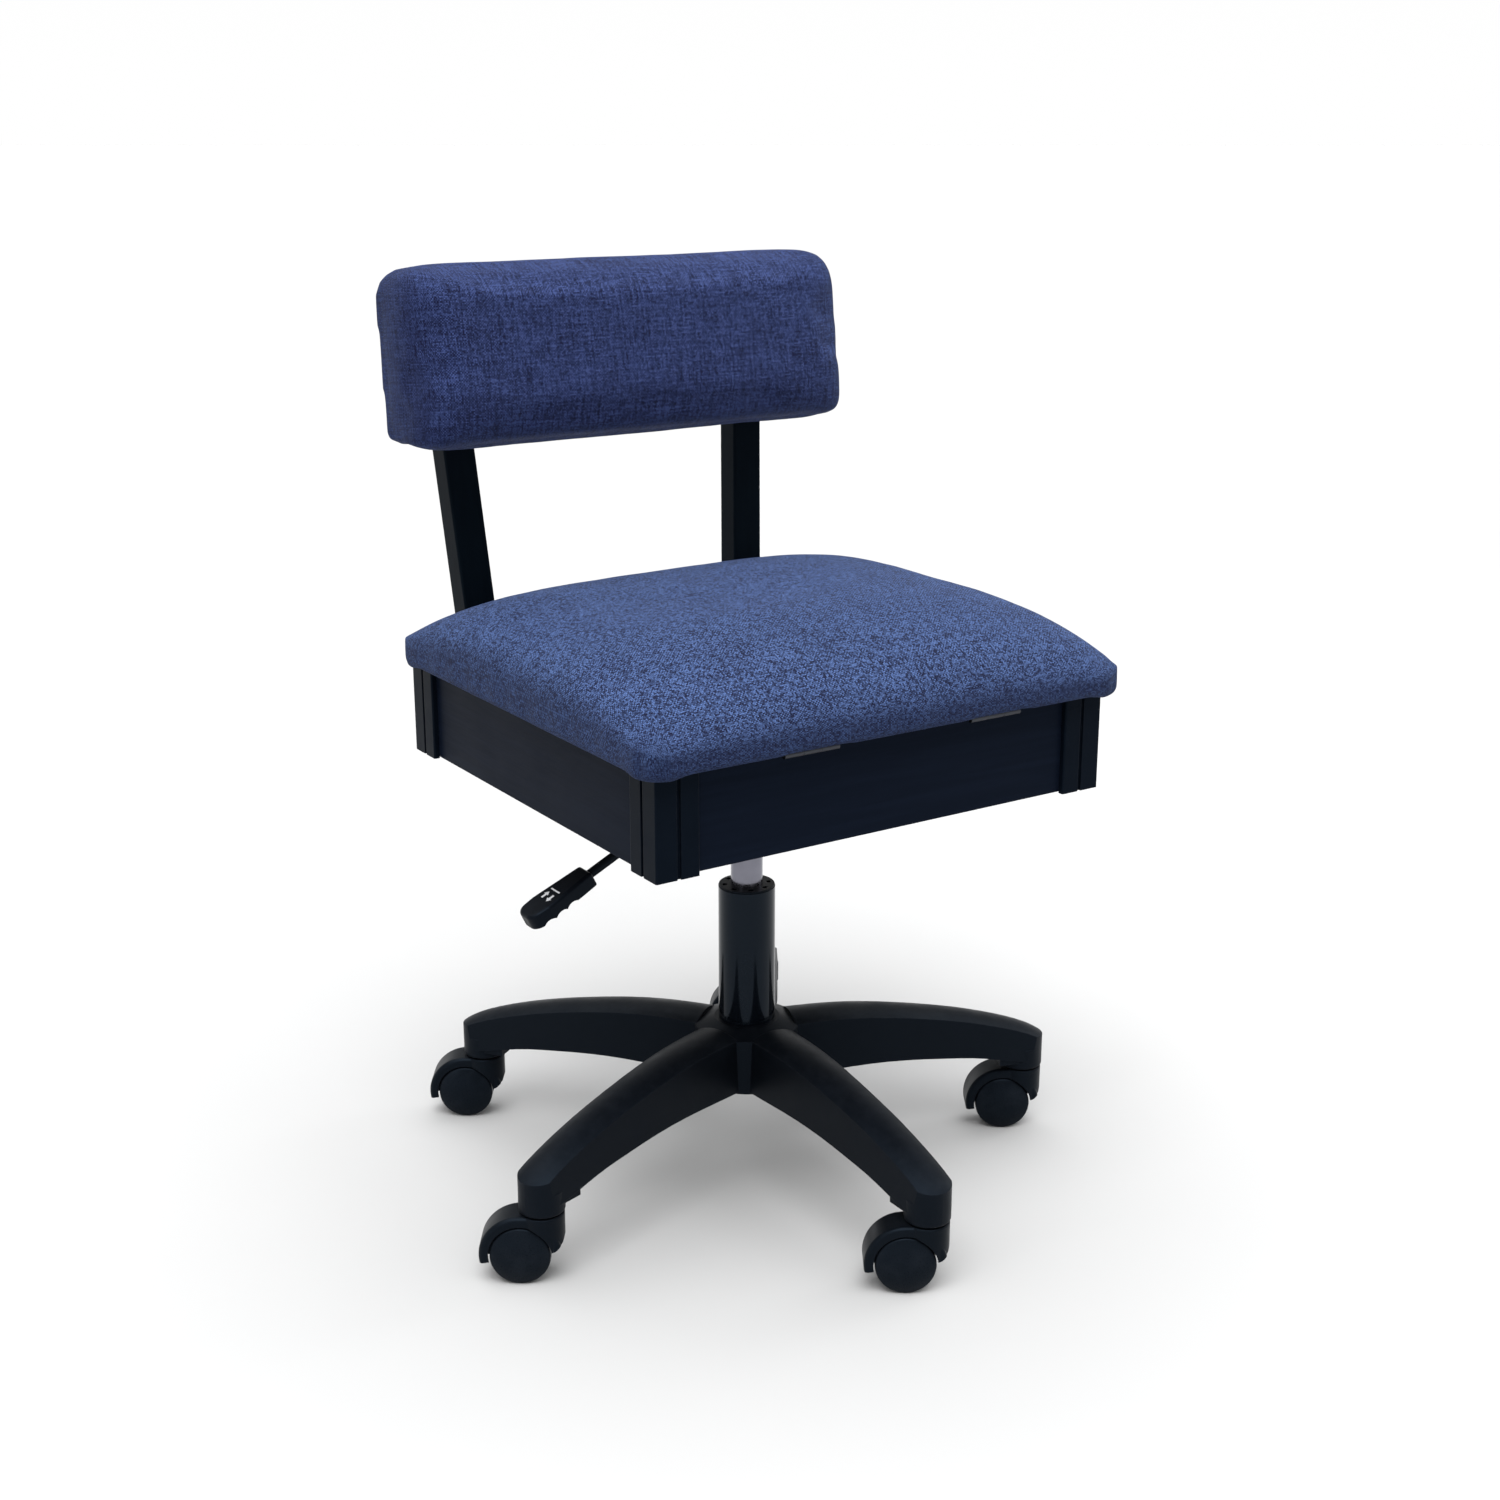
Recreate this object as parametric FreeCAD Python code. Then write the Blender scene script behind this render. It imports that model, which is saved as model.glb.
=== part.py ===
import FreeCAD, Part

# Low-backed swivel stool with a storage box under a hinged padded seat, on a
# gas lift and a five-armed caster base.  Millimetres.
#
# Frame: origin on the floor under the column's axis, +Z up.  The sitter faces
# -Y, and the height lever is on the -X side.  The gas lift is part-way up.

import math
import os

Vector = FreeCAD.Vector
X_AXIS = Vector(1, 0, 0)
Y_AXIS = Vector(0, 1, 0)
Z_AXIS = Vector(0, 0, 1)
ORIGIN = Vector(0, 0, 0)

# ---------------------------------------------------------------- dimensions

# Casters: twin 50 mm wheels under a hood, trailing behind a vertical stem.
WHEEL_RADIUS = 25.0
WHEEL_INNER = 3.3
WHEEL_TREAD_END = 15.0
WHEEL_DOME_END = 20.5
WHEEL_SHELL = 3.2
WHEEL_HUB_RADIUS = 7.5
WHEEL_CAP_RADIUS = 2.0
AXLE_RADIUS = 3.0
AXLE_HALF_LENGTH = 15.0
CASTER_TRAIL = 17.5
CASTER_HEADING = 146.7
HOOD_RADIUS = 34.0
HOOD_HALF_WIDTH = 15.5
HOOD_SKIN = 2.6
HOOD_TOP = 59.0
HOOD_ROUND = 4.0
HOOD_CHIN = (-10.8, 29.0)
HOOD_LIP = (52.0, 18.3)
NECK_RADIUS = 18.5
NECK_CHIN_HEIGHT = 38.5
WEB_HALF = 1.5
WHEEL_GAP = 1.2
STEM_RADIUS = 5.5
STEM_BOTTOM = 49.0
STEM_TOP = 90.0
STEM_COLLAR_RADIUS = 9.0
GRIP_WALL = 1.0

# Star base.
ARM_COUNT = 5
FIRST_ARM_ANGLE = -90.0
STEM_CIRCLE_RADIUS = 265.5
BOSS_RADIUS = 19.2
BOSS_BOTTOM = 60.5
HUB_RADIUS = 46.5
HUB_TOP = 139.4
HUB_SHOULDER = 133.5
HUB_CROWN_RADIUS = 29.0
HUB_BOTTOM = 84.0
HUB_RING_RADIUS = 31.0
HUB_RING_BOTTOM = 76.0
ARM_START = 39.5
ARM_CROWN = 5.0
ARM_DRAFT = 1.8
ARM_SHELL = 4.0
RIB_THICKNESS = 3.0
RIB_RECESS = 2.5
# Distance from the column, top height, underside height and half width.
ARM_STATIONS = (
    (0.0, 139.5, 86.0, 24.0),
    (60.0, 139.0, 86.0, 22.8),
    (110.0, 136.5, 87.3, 21.6),
    (150.0, 131.0, 85.8, 20.7),
    (190.0, 123.5, 82.0, 20.0),
    (225.0, 114.8, 77.0, 19.6),
    (250.0, 107.0, 71.5, 19.3),
    (270.0, 99.0, 68.0, 19.2),
    (290.0, 86.0, 66.0, 19.2),
)
CAVITY_START = 50.0
CAVITY_END = 238.0

# Gas lift.
TUBE_RADIUS = 25.0
TUBE_WALL = 1.8
TUBE_BOTTOM = 79.0
TUBE_TOP = 263.3
TUBE_FLOOR = 3.0
BUSH_LENGTH = 60.0
BUSH_LIP = 1.6
BUSH_NOTCHES = 8
CYLINDER_RADIUS = 14.0
CYLINDER_BORE = 12.0
CYLINDER_BOTTOM = 150.0
CYLINDER_TOP = 360.0
CYLINDER_END_WALL = 8.0
CYLINDER_VALVE_WALL = 30.0
TAPER_LENGTH = 38.0
TAPER_TOP_RADIUS = 13.4
ROD_RADIUS = 5.0
ROD_BOTTOM = 76.5
PISTON_TOP = 240.0
PISTON_LENGTH = 12.0
BEARING_HEIGHT = 9.0
BEARING_RADIUS = 15.0
COLLAR_RADIUS = 9.0
COLLAR_HEIGHT = 4.0
RUNNING_GAP = 0.05
SLIDING_GAP = 0.1
PIN_RADIUS = 4.0
PIN_BOTTOM = 318.0
PIN_TOP = 364.2

# Height lever: a bent rod from the valve pin, over its pivot, to the paddle.
LEVER_RADIUS = 4.0
LEVER_PIVOT = Vector(-62.0, 0.0, 350.0)
LEVER_INNER_END = Vector(7.0, 0.0, 368.5)
LEVER_BEND = Vector(-22.0, 0.0, 368.5)
LEVER_OUTER_END = Vector(-185.0, 0.0, 291.0)
LEVER_BOSS_RADIUS = 7.0
LEVER_PIN_RADIUS = 3.0
PADDLE_START = Vector(-157.5, 0.0, 304.5)
PADDLE_LENGTH = 66.0
PADDLE_HALF_WIDTH = 15.0
PADDLE_NECK_HALF_WIDTH = 10.5
PADDLE_THICKNESS = 13.0
PADDLE_TIP_ROUND = 10.0
SCALLOP_RADIUS = 9.0

# Seat plate under the box.
PLATE_TOP = 377.0
PLATE_THICKNESS = 3.0
PLATE_HALF_X = 100.0
PLATE_HALF_Y = 75.0
PLATE_FLANGE = 22.0
PLATE_BOLT_X = 80.0
PLATE_BOLT_Y = 52.0
SOCKET_RADIUS = 19.0
SOCKET_SLOT = 11.0
EAR_THICKNESS = 3.0
EAR_GAP = 12.6
PLATE_BOLT_RADIUS = 4.0

# Storage box.
BOX_HALF_X = 214.9
BOX_HALF_Y = 207.6
BOX_TOP = 452.0
MOULDING_BOTTOM = 371.3
MOULDING_TOP = 451.4
PANEL_BOTTOM = 372.8
PANEL_THICKNESS = 15.0
MOULDING_PROUD = 5.0
MOULDING_WIDTH = 38.0
MOULDING_GROOVE_AT = 20.0
MOULDING_GROOVE_WIDTH = 3.4
MOULDING_GROOVE_DEPTH = 2.2
MOULDING_ROUND = 1.4
BOTTOM_THICKNESS = 9.0

# Lid hinges, on the front top edge of the box.
HINGE_CENTRES = (-80.0, 98.0)
HINGE_LENGTH = 50.0
HINGE_AXIS_Y = -211.0
HINGE_AXIS_Z = 453.2
KNUCKLE_RADIUS = 2.75
HINGE_PIN_RADIUS = 1.3
HINGE_PIN_GAP = 0.05
KNUCKLE_GAP = 0.3
LEAF_THICKNESS = 1.1
LEAF_END_Y = -189.5
HINGE_SCREW_RADIUS = 1.6
HINGE_SCREW_HEAD = 3.0
HINGE_SCREW_LENGTH = 11.0
HINGE_SCREW_PITCH = 17.0

# Lid: plywood board, foam cushion and liner.
LID_BOTTOM = 454.5
BOARD_THICKNESS = 12.0
BOARD_HALF_X = 213.0
BOARD_FRONT = -205.0
BOARD_REAR = 196.0
CUSHION_HALF_X = 229.0
CUSHION_FRONT = -223.5
CUSHION_REAR = 205.0
CUSHION_CORNER = 25.0
# Height of each outline above the lid's underside, and how far it is drawn in.
CUSHION_PROFILE = (
    (0.0, 7.0),
    (5.0, 1.5),
    (12.0, 0.0),
    (22.0, 1.5),
    (34.0, 9.0),
    (46.0, 23.0),
    (57.0, 45.0),
    (66.0, 76.0),
    (72.5, 116.0),
    (76.0, 162.0),
    (77.0, 195.0),
)
LINER_THICKNESS = 0.8

# Back: two posts that lean back and splay out, a board and a pad.
LEAN = 5.5
SPLAY = 3.4
POST_WIDTH = 30.0
POST_DEPTH = 25.0
POST_FOOT_X = 140.3
POST_FOOT_Y = 212.2
POST_BOTTOM = 380.0
POST_HEEL_TOP = 446.0
POST_LENGTH = 318.0
POST_ROUND = 2.0
POST_BOLT_HEIGHTS = (400.0, 430.0)
POST_BOLT_RADIUS = 4.0
BOLT_HEAD_RADIUS = 8.0
BOLT_HEAD_HEIGHT = 4.0
NUT_ACROSS = 13.0
NUT_HEIGHT = 6.5
BACK_HALF_X = 220.0
BACK_BOARD_HALF_X = 198.0
BACK_BOARD_LOW = 212.0
BACK_BOARD_HIGH = 306.0
BACK_BOARD_THICKNESS = 12.0
BACK_BOLT_HEIGHTS = (232.0, 295.0)
BACK_BOLT_RADIUS = 3.0
BACK_PAD_ROUND = 24.0
BACK_END_ROUND = 20.0
# Pad's side outline, up the lean from the box top: forward of the posts, and up.
BACK_OUTLINE = (
    (-0.3, 187.0),
    (-75.0, 181.0),
    (-79.5, 222.0),
    (-68.0, 332.0),
    (-0.3, 332.0),
)

# -------------------------------------------------------------------- helpers


def box(low, high):
    """A solid box between two opposite corners."""
    size = [high[i] - low[i] for i in range(3)]
    return Part.makeBox(size[0], size[1], size[2], Vector(*low))


def rod(start, end, radius):
    """A round bar from one point to another."""
    along = end - start
    return Part.makeCylinder(radius, along.Length, start, along)


def upright(radius, bottom, top, x=0.0, y=0.0):
    """A vertical cylinder between two heights."""
    return Part.makeCylinder(radius, top - bottom, Vector(x, y, bottom), Z_AXIS)


def ring(outer, inner, bottom, top, x=0.0, y=0.0):
    """A vertical tube between two heights."""
    return upright(outer, bottom, top, x, y).cut(upright(inner, bottom, top, x, y))


def flat_face(points):
    """A flat face inside a closed outline of straight lines."""
    corners = [Vector(*point) for point in points]
    return Part.Face(Part.makePolygon(corners + corners[:1]))


def prism(points, direction):
    """A straight prism on a closed flat outline."""
    return flat_face(points).extrude(direction)


def turned(shape, centre, axis, angle):
    """A copy turned about an axis, in degrees."""
    copy = shape.copy()
    copy.rotate(centre, axis, angle)
    return copy


def moved(shape, offset):
    """A copy moved by an offset."""
    copy = shape.copy()
    copy.translate(offset)
    return copy


def mirrored(shape):
    """A copy on the other side of the X = 0 plane."""
    return shape.mirror(ORIGIN, X_AXIS)


def fused(shapes):
    """All shapes joined into one solid, without seams."""
    return shapes[0].multiFuse(shapes[1:]).removeSplitter()


def hexagon(across_flats, height, base, direction):
    """A hexagonal prism standing on base along direction."""
    radius = across_flats / math.sqrt(3)
    corners = []
    for k in range(6):
        angle = math.radians(60 * k)
        corners.append((radius * math.cos(angle), radius * math.sin(angle), 0))
    block = prism(corners, Vector(0, 0, height))
    block.Placement = FreeCAD.Placement(base, FreeCAD.Rotation(Z_AXIS, direction))
    return block


def edges_along(shape, axis):
    """Straight edges that run along an axis."""
    found = []
    for edge in shape.Edges:
        if isinstance(edge.Curve, Part.Line) and edge.Curve.Direction.cross(axis).Length < 1e-6:
            found.append(edge)
    return found


def save(name, *shapes):
    """Write one named piece, or a group of separate solids, to its STEP file."""
    solids = []
    for shape in shapes:
        solids.extend(shape.Solids)
    whole = solids[0] if len(solids) == 1 else Part.makeCompound(solids)
    whole.exportStep("parts/" + name + ".step")
    pieces[name] = whole


# ------------------------------------------------------------------- star base


def arm_section(distance, top, underside, half_width, crown):
    """Closed outline across an arm: flat underside, sloping sides, crowned top."""
    narrow = half_width - ARM_DRAFT
    low_right = Vector(distance, -half_width, underside)
    low_left = Vector(distance, half_width, underside)
    high_left = Vector(distance, narrow, top - crown)
    high_right = Vector(distance, -narrow, top - crown)
    crest = Vector(distance, 0, top)
    edges = [
        Part.LineSegment(low_right, low_left).toShape(),
        Part.LineSegment(low_left, high_left).toShape(),
        Part.Arc(high_left, crest, high_right).toShape(),
        Part.LineSegment(high_right, low_right).toShape(),
    ]
    return Part.Wire(edges)


def arm_solid(shell=0.0):
    """One arm along +X; with a shell thickness, the hollow inside it."""
    sections = []
    for distance, top, underside, half_width in ARM_STATIONS:
        floor = underside - 30.0 if shell else underside
        sections.append(arm_section(distance, top - shell, floor, half_width - shell, ARM_CROWN))
    return Part.makeLoft(sections, True, False)


def arm_plan():
    """Upright prism that trims an arm: tapered, with a round end about the stem."""
    start = ARM_STATIONS[0][3]
    reach = STEM_CIRCLE_RADIUS
    outline = [(0, -start, 0), (reach, -BOSS_RADIUS, 0), (reach, BOSS_RADIUS, 0), (0, start, 0)]
    height = HUB_TOP + 10.0
    return prism(outline, Vector(0, 0, height)).fuse(upright(BOSS_RADIUS, 0, height, reach))


def star_arm():
    """One hollow ribbed arm with its caster boss, along +X."""
    outer = arm_solid().common(arm_plan()).common(box((ARM_START, -40, 0), (400, 40, 200)))
    reach = box((CAVITY_START, -40, 0), (CAVITY_END, 40, 200))
    hollow = arm_solid(ARM_SHELL).common(reach)
    ribs = [box((CAVITY_START, -RIB_THICKNESS / 2, 0), (CAVITY_END, RIB_THICKNESS / 2, 200))]
    rib_count = 5
    pitch = (CAVITY_END - CAVITY_START) / rib_count
    for k in range(1, rib_count):
        x = CAVITY_START + k * pitch
        ribs.append(box((x - RIB_THICKNESS / 2, -40, 0), (x + RIB_THICKNESS / 2, 40, 200)))
    recess = moved(arm_solid().common(reach), Vector(0, 0, RIB_RECESS))
    ribbing = fused(ribs).common(recess)
    arm = outer.cut(hollow.cut(ribbing))
    boss = upright(BOSS_RADIUS, BOSS_BOTTOM, 80.0, STEM_CIRCLE_RADIUS)
    boss = boss.makeFillet(2.0, [e for e in boss.Edges if abs(e.BoundBox.ZMax - BOSS_BOTTOM) < 0.01])
    ledge = box((CAVITY_END, -BOSS_RADIUS + 2, 67.0), (STEM_CIRCLE_RADIUS, BOSS_RADIUS - 2, 80.0))
    return fused([arm, boss, ledge])


def arm_angles():
    """Direction of each arm, in degrees from +X."""
    return [FIRST_ARM_ANGLE + k * 360.0 / ARM_COUNT for k in range(ARM_COUNT)]


def stem_position(angle):
    """Point under the base where a caster stem's axis meets the floor."""
    return Vector(
        STEM_CIRCLE_RADIUS * math.cos(math.radians(angle)),
        STEM_CIRCLE_RADIUS * math.sin(math.radians(angle)),
        0,
    )


def star_base():
    """Five arms around a hub, bored for the column and for the caster stems."""
    arm = star_arm()
    hub_outline = flat_face(
        [
            (0, 0, HUB_RING_BOTTOM),
            (HUB_RING_RADIUS, 0, HUB_RING_BOTTOM),
            (HUB_RING_RADIUS, 0, HUB_BOTTOM),
            (HUB_RADIUS, 0, HUB_BOTTOM),
            (HUB_RADIUS, 0, HUB_SHOULDER),
            (HUB_CROWN_RADIUS, 0, HUB_TOP),
            (0, 0, HUB_TOP),
        ]
    )
    base = hub_outline.revolve(ORIGIN, Z_AXIS, 360)
    for angle in arm_angles():
        base = base.fuse(turned(arm, ORIGIN, Z_AXIS, angle))
    bores = [upright(TUBE_RADIUS, 0, 200)]
    for angle in arm_angles():
        spot = stem_position(angle)
        bores.append(upright(STEM_RADIUS + GRIP_WALL, 0, STEM_TOP + 1.0, spot.x, spot.y))
    return base.cut(Part.makeCompound(bores))


def caster_stem():
    """Steel stem with a thin collar between hood and boss."""
    stem = upright(STEM_RADIUS, STEM_BOTTOM, STEM_TOP)
    collar = upright(STEM_COLLAR_RADIUS, HOOD_TOP + 0.2, BOSS_BOTTOM)
    return stem.fuse(collar)


def grip_ring():
    """Split spring sleeve that holds a stem in its boss."""
    sleeve = ring(STEM_RADIUS + GRIP_WALL, STEM_RADIUS, BOSS_BOTTOM + 1.0, STEM_TOP - 4.0)
    slit = box((0, -1.0, BOSS_BOTTOM), (STEM_RADIUS + 2.0, 1.0, STEM_TOP))
    return sleeve.cut(slit)


# --------------------------------------------------------------------- casters
# Built about a stem on the Z axis, with the wheels trailing along +X.


def axle_line(radius, half_length, start=None):
    """A bar along Y on the wheels' axis."""
    low = -half_length if start is None else start
    return rod(Vector(CASTER_TRAIL, low, WHEEL_RADIUS), Vector(CASTER_TRAIL, half_length, WHEEL_RADIUS), radius)


def caster_hood():
    """Hood over both wheels with a round neck about the stem."""
    drum = axle_line(HOOD_RADIUS, HOOD_HALF_WIDTH)
    rims = [e for e in drum.Edges if isinstance(e.Curve, Part.Circle)]
    drum = drum.makeFillet(HOOD_ROUND, rims)
    neck = upright(NECK_RADIUS, 20.0, HOOD_TOP)
    neck = neck.makeFillet(1.5, [e for e in neck.Edges if e.BoundBox.ZMin > HOOD_TOP - 0.01])
    bridge = box((0, -HOOD_HALF_WIDTH, 30.0), (CASTER_TRAIL, HOOD_HALF_WIDTH, HOOD_TOP))
    top_edges = [e for e in edges_along(bridge, X_AXIS) if e.BoundBox.ZMin > HOOD_TOP - 0.01]
    bridge = bridge.makeFillet(HOOD_ROUND, top_edges)
    outer = drum.fuse(neck).fuse(bridge)

    below = [
        (-30.0, -40.0, -40.0),
        (-30.0, -40.0, NECK_CHIN_HEIGHT),
        (-NECK_RADIUS, -40.0, NECK_CHIN_HEIGHT),
        (-NECK_RADIUS + 1.6, -40.0, NECK_CHIN_HEIGHT - 4.8),
        (HOOD_CHIN[0], -40.0, HOOD_CHIN[1]),
        (HOOD_LIP[0], -40.0, HOOD_LIP[1]),
        (HOOD_LIP[0] + 30.0, -40.0, -40.0),
    ]
    outer = outer.cut(prism(below, Vector(0, 80, 0)))

    stem_boss = upright(STEM_RADIUS + 3.5, 20.0, HOOD_TOP)
    pocket_edge = HOOD_HALF_WIDTH - HOOD_SKIN
    hollow = axle_line(HOOD_RADIUS - HOOD_SKIN, pocket_edge, WEB_HALF)
    hollow = hollow.fuse(axle_line(HOOD_RADIUS - HOOD_SKIN, -WEB_HALF, -pocket_edge))
    clearance = axle_line(WHEEL_RADIUS + WHEEL_GAP, 30.0, WEB_HALF)
    clearance = clearance.fuse(axle_line(WHEEL_RADIUS + WHEEL_GAP, -WEB_HALF, -30.0))
    hood = outer.cut(hollow.cut(stem_boss)).cut(clearance)

    web_boss = axle_line(AXLE_RADIUS + 4.5, WHEEL_INNER - 0.5)
    hood = hood.fuse(web_boss).cut(axle_line(AXLE_RADIUS, 40.0))
    return hood.cut(upright(STEM_RADIUS + RUNNING_GAP, STEM_BOTTOM - 0.5, 80.0)).removeSplitter()


def caster_wheel():
    """Domed bowl-shaped wheel on the +Y side, with a hub around its blind bore."""
    rim = WHEEL_RADIUS
    bore = AXLE_RADIUS + RUNNING_GAP
    bore_end = AXLE_HALF_LENGTH + 1.0
    shoulder = Vector(rim, WHEEL_TREAD_END - 1.5, 0)
    dome_foot = Vector(rim - 1.6, WHEEL_TREAD_END + 0.6, 0)
    dome_top = Vector(WHEEL_CAP_RADIUS, WHEEL_DOME_END, 0)
    inside = [
        dome_top,
        Vector(0, WHEEL_DOME_END, 0),
        Vector(0, bore_end, 0),
        Vector(bore, bore_end, 0),
        Vector(bore, WHEEL_INNER, 0),
        Vector(WHEEL_HUB_RADIUS, WHEEL_INNER, 0),
        Vector(WHEEL_HUB_RADIUS, WHEEL_TREAD_END - WHEEL_SHELL, 0),
        Vector(rim - WHEEL_SHELL, WHEEL_TREAD_END - WHEEL_SHELL, 0),
        Vector(rim - WHEEL_SHELL, WHEEL_INNER, 0),
        Vector(rim - 1.0, WHEEL_INNER, 0),
        Vector(rim, WHEEL_INNER + 1.0, 0),
        shoulder,
    ]
    edges = [Part.LineSegment(inside[k], inside[k + 1]).toShape() for k in range(len(inside) - 1)]
    edges.append(Part.Arc(shoulder, Vector(rim - 0.5, WHEEL_TREAD_END - 0.3, 0), dome_foot).toShape())
    edges.append(Part.Arc(dome_foot, Vector(rim * 0.56, WHEEL_DOME_END - 1.4, 0), dome_top).toShape())
    wheel = Part.Face(Part.Wire(edges)).revolve(ORIGIN, Y_AXIS, 360)
    return moved(wheel, Vector(CASTER_TRAIL, 0, WHEEL_RADIUS))


def save_casters():
    """Five casters, each as a hood, an axle and two wheels."""
    hood = caster_hood()
    axle = axle_line(AXLE_RADIUS, AXLE_HALF_LENGTH)
    wheel = caster_wheel()
    other_wheel = turned(wheel, Vector(CASTER_TRAIL, 0, 0), Z_AXIS, 180)
    kinds = (
        ("caster_hood_", hood),
        ("caster_axle_", axle),
        ("wheel_left_", wheel),
        ("wheel_right_", other_wheel),
    )
    for number, angle in enumerate(arm_angles(), start=1):
        for prefix, shape in kinds:
            placed = moved(turned(shape, ORIGIN, Z_AXIS, CASTER_HEADING), stem_position(angle))
            save(prefix + str(number), placed)


# -------------------------------------------------------------------- gas lift


def column_tube():
    """Outer tube with a floor plate that carries the thrust bearing."""
    inner = TUBE_RADIUS - TUBE_WALL
    tube = ring(TUBE_RADIUS, inner, TUBE_BOTTOM, TUBE_TOP)
    floor = ring(inner, ROD_RADIUS + 1.5, TUBE_BOTTOM, TUBE_BOTTOM + TUBE_FLOOR)
    return fused([tube, floor])


def guide_bush():
    """Plastic bush in the tube's mouth, with notches around its lip."""
    inner = TUBE_RADIUS - TUBE_WALL
    bush = ring(inner, CYLINDER_RADIUS + SLIDING_GAP, TUBE_TOP - BUSH_LENGTH, TUBE_TOP)
    lip = ring(TUBE_RADIUS - 0.6, CYLINDER_RADIUS + SLIDING_GAP, TUBE_TOP, TUBE_TOP + BUSH_LIP)
    bush = fused([bush, lip])
    notches = []
    for k in range(BUSH_NOTCHES):
        notch = box((17.5, -2.4, TUBE_TOP - 3.0), (21.5, 2.4, TUBE_TOP + 5.0))
        notches.append(turned(notch, ORIGIN, Z_AXIS, (k + 0.5) * 360.0 / BUSH_NOTCHES))
    return bush.cut(Part.makeCompound(notches))


def thrust_bearing():
    """Two washers with a ring of balls between them."""
    low = TUBE_BOTTOM + TUBE_FLOOR
    high = low + BEARING_HEIGHT
    washer = 2.5
    bore = ROD_RADIUS + 0.5
    solids = [
        ring(BEARING_RADIUS, bore, low, low + washer),
        ring(BEARING_RADIUS, bore, high - washer, high),
    ]
    ball_radius = (BEARING_HEIGHT - 2 * washer) / 2
    track = (BEARING_RADIUS + bore) / 2
    ball_count = 12
    for k in range(ball_count):
        angle = math.radians(k * 360.0 / ball_count)
        centre = Vector(track * math.cos(angle), track * math.sin(angle), low + BEARING_HEIGHT / 2)
        solids.append(Part.makeSphere(ball_radius, centre))
    return solids


def piston_rod():
    """Rod that stands on the bearing, with a groove for its clip below the floor."""
    seat = TUBE_BOTTOM + TUBE_FLOOR + BEARING_HEIGHT
    stem = upright(ROD_RADIUS, ROD_BOTTOM, PISTON_TOP)
    collar = upright(COLLAR_RADIUS, seat + 0.1, seat + COLLAR_HEIGHT)
    return fused([stem, collar])


def gas_cylinder():
    """Pressure cylinder with a tapered top, a lower guide wall and a valve bore."""
    straight_top = CYLINDER_TOP - TAPER_LENGTH
    body = upright(CYLINDER_RADIUS, CYLINDER_BOTTOM, straight_top)
    cone = Part.makeCone(CYLINDER_RADIUS, TAPER_TOP_RADIUS, TAPER_LENGTH, Vector(0, 0, straight_top))
    bore_low = CYLINDER_BOTTOM + CYLINDER_END_WALL
    bore = upright(CYLINDER_BORE, bore_low, CYLINDER_TOP - CYLINDER_VALVE_WALL)
    rod_hole = upright(ROD_RADIUS + RUNNING_GAP, CYLINDER_BOTTOM - 1.0, bore_low + 1.0)
    pin_hole = upright(PIN_RADIUS + RUNNING_GAP, PIN_BOTTOM, CYLINDER_TOP + 1.0)
    return body.fuse(cone).removeSplitter().cut(bore).cut(rod_hole).cut(pin_hole)


def save_gas_lift():
    """All pieces of the lift, from the outer tube to the valve pin."""
    save("column_tube", column_tube())
    save("guide_bush", guide_bush())
    save("thrust_bearing", *thrust_bearing())
    save("piston_rod", piston_rod())
    piston_low = PISTON_TOP - PISTON_LENGTH
    save("piston", ring(CYLINDER_BORE - SLIDING_GAP, ROD_RADIUS, piston_low, PISTON_TOP))
    save("rod_clip", ring(COLLAR_RADIUS, ROD_RADIUS, ROD_BOTTOM + 0.5, TUBE_BOTTOM - 0.3))
    save("gas_cylinder", gas_cylinder())
    save("release_pin", upright(PIN_RADIUS, PIN_BOTTOM, PIN_TOP))


# ------------------------------------------------------------------ seat plate


def taper_socket():
    """Welded socket that grips the cylinder's taper, slotted for the lever."""
    low = CYLINDER_TOP - TAPER_LENGTH
    plate_underside = PLATE_TOP - PLATE_THICKNESS
    socket = upright(SOCKET_RADIUS, low, plate_underside)
    cone = Part.makeCone(CYLINDER_RADIUS, TAPER_TOP_RADIUS, TAPER_LENGTH, Vector(0, 0, low))
    mouth = upright(TAPER_TOP_RADIUS, CYLINDER_TOP - 0.5, plate_underside + 1.0)
    slot = box((-30.0, -SOCKET_SLOT / 2, CYLINDER_TOP - 6.0), (0.0, SOCKET_SLOT / 2, plate_underside + 1.0))
    return socket.cut(cone).cut(mouth).cut(slot.cut(upright(CYLINDER_RADIUS, 0, CYLINDER_TOP)))


def plate_bolt_spots():
    """Where the four bolts go through plate and box bottom."""
    spots = []
    for x in (-PLATE_BOLT_X, PLATE_BOLT_X):
        for y in (-PLATE_BOLT_Y, PLATE_BOLT_Y):
            spots.append((x, y))
    return spots


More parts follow.
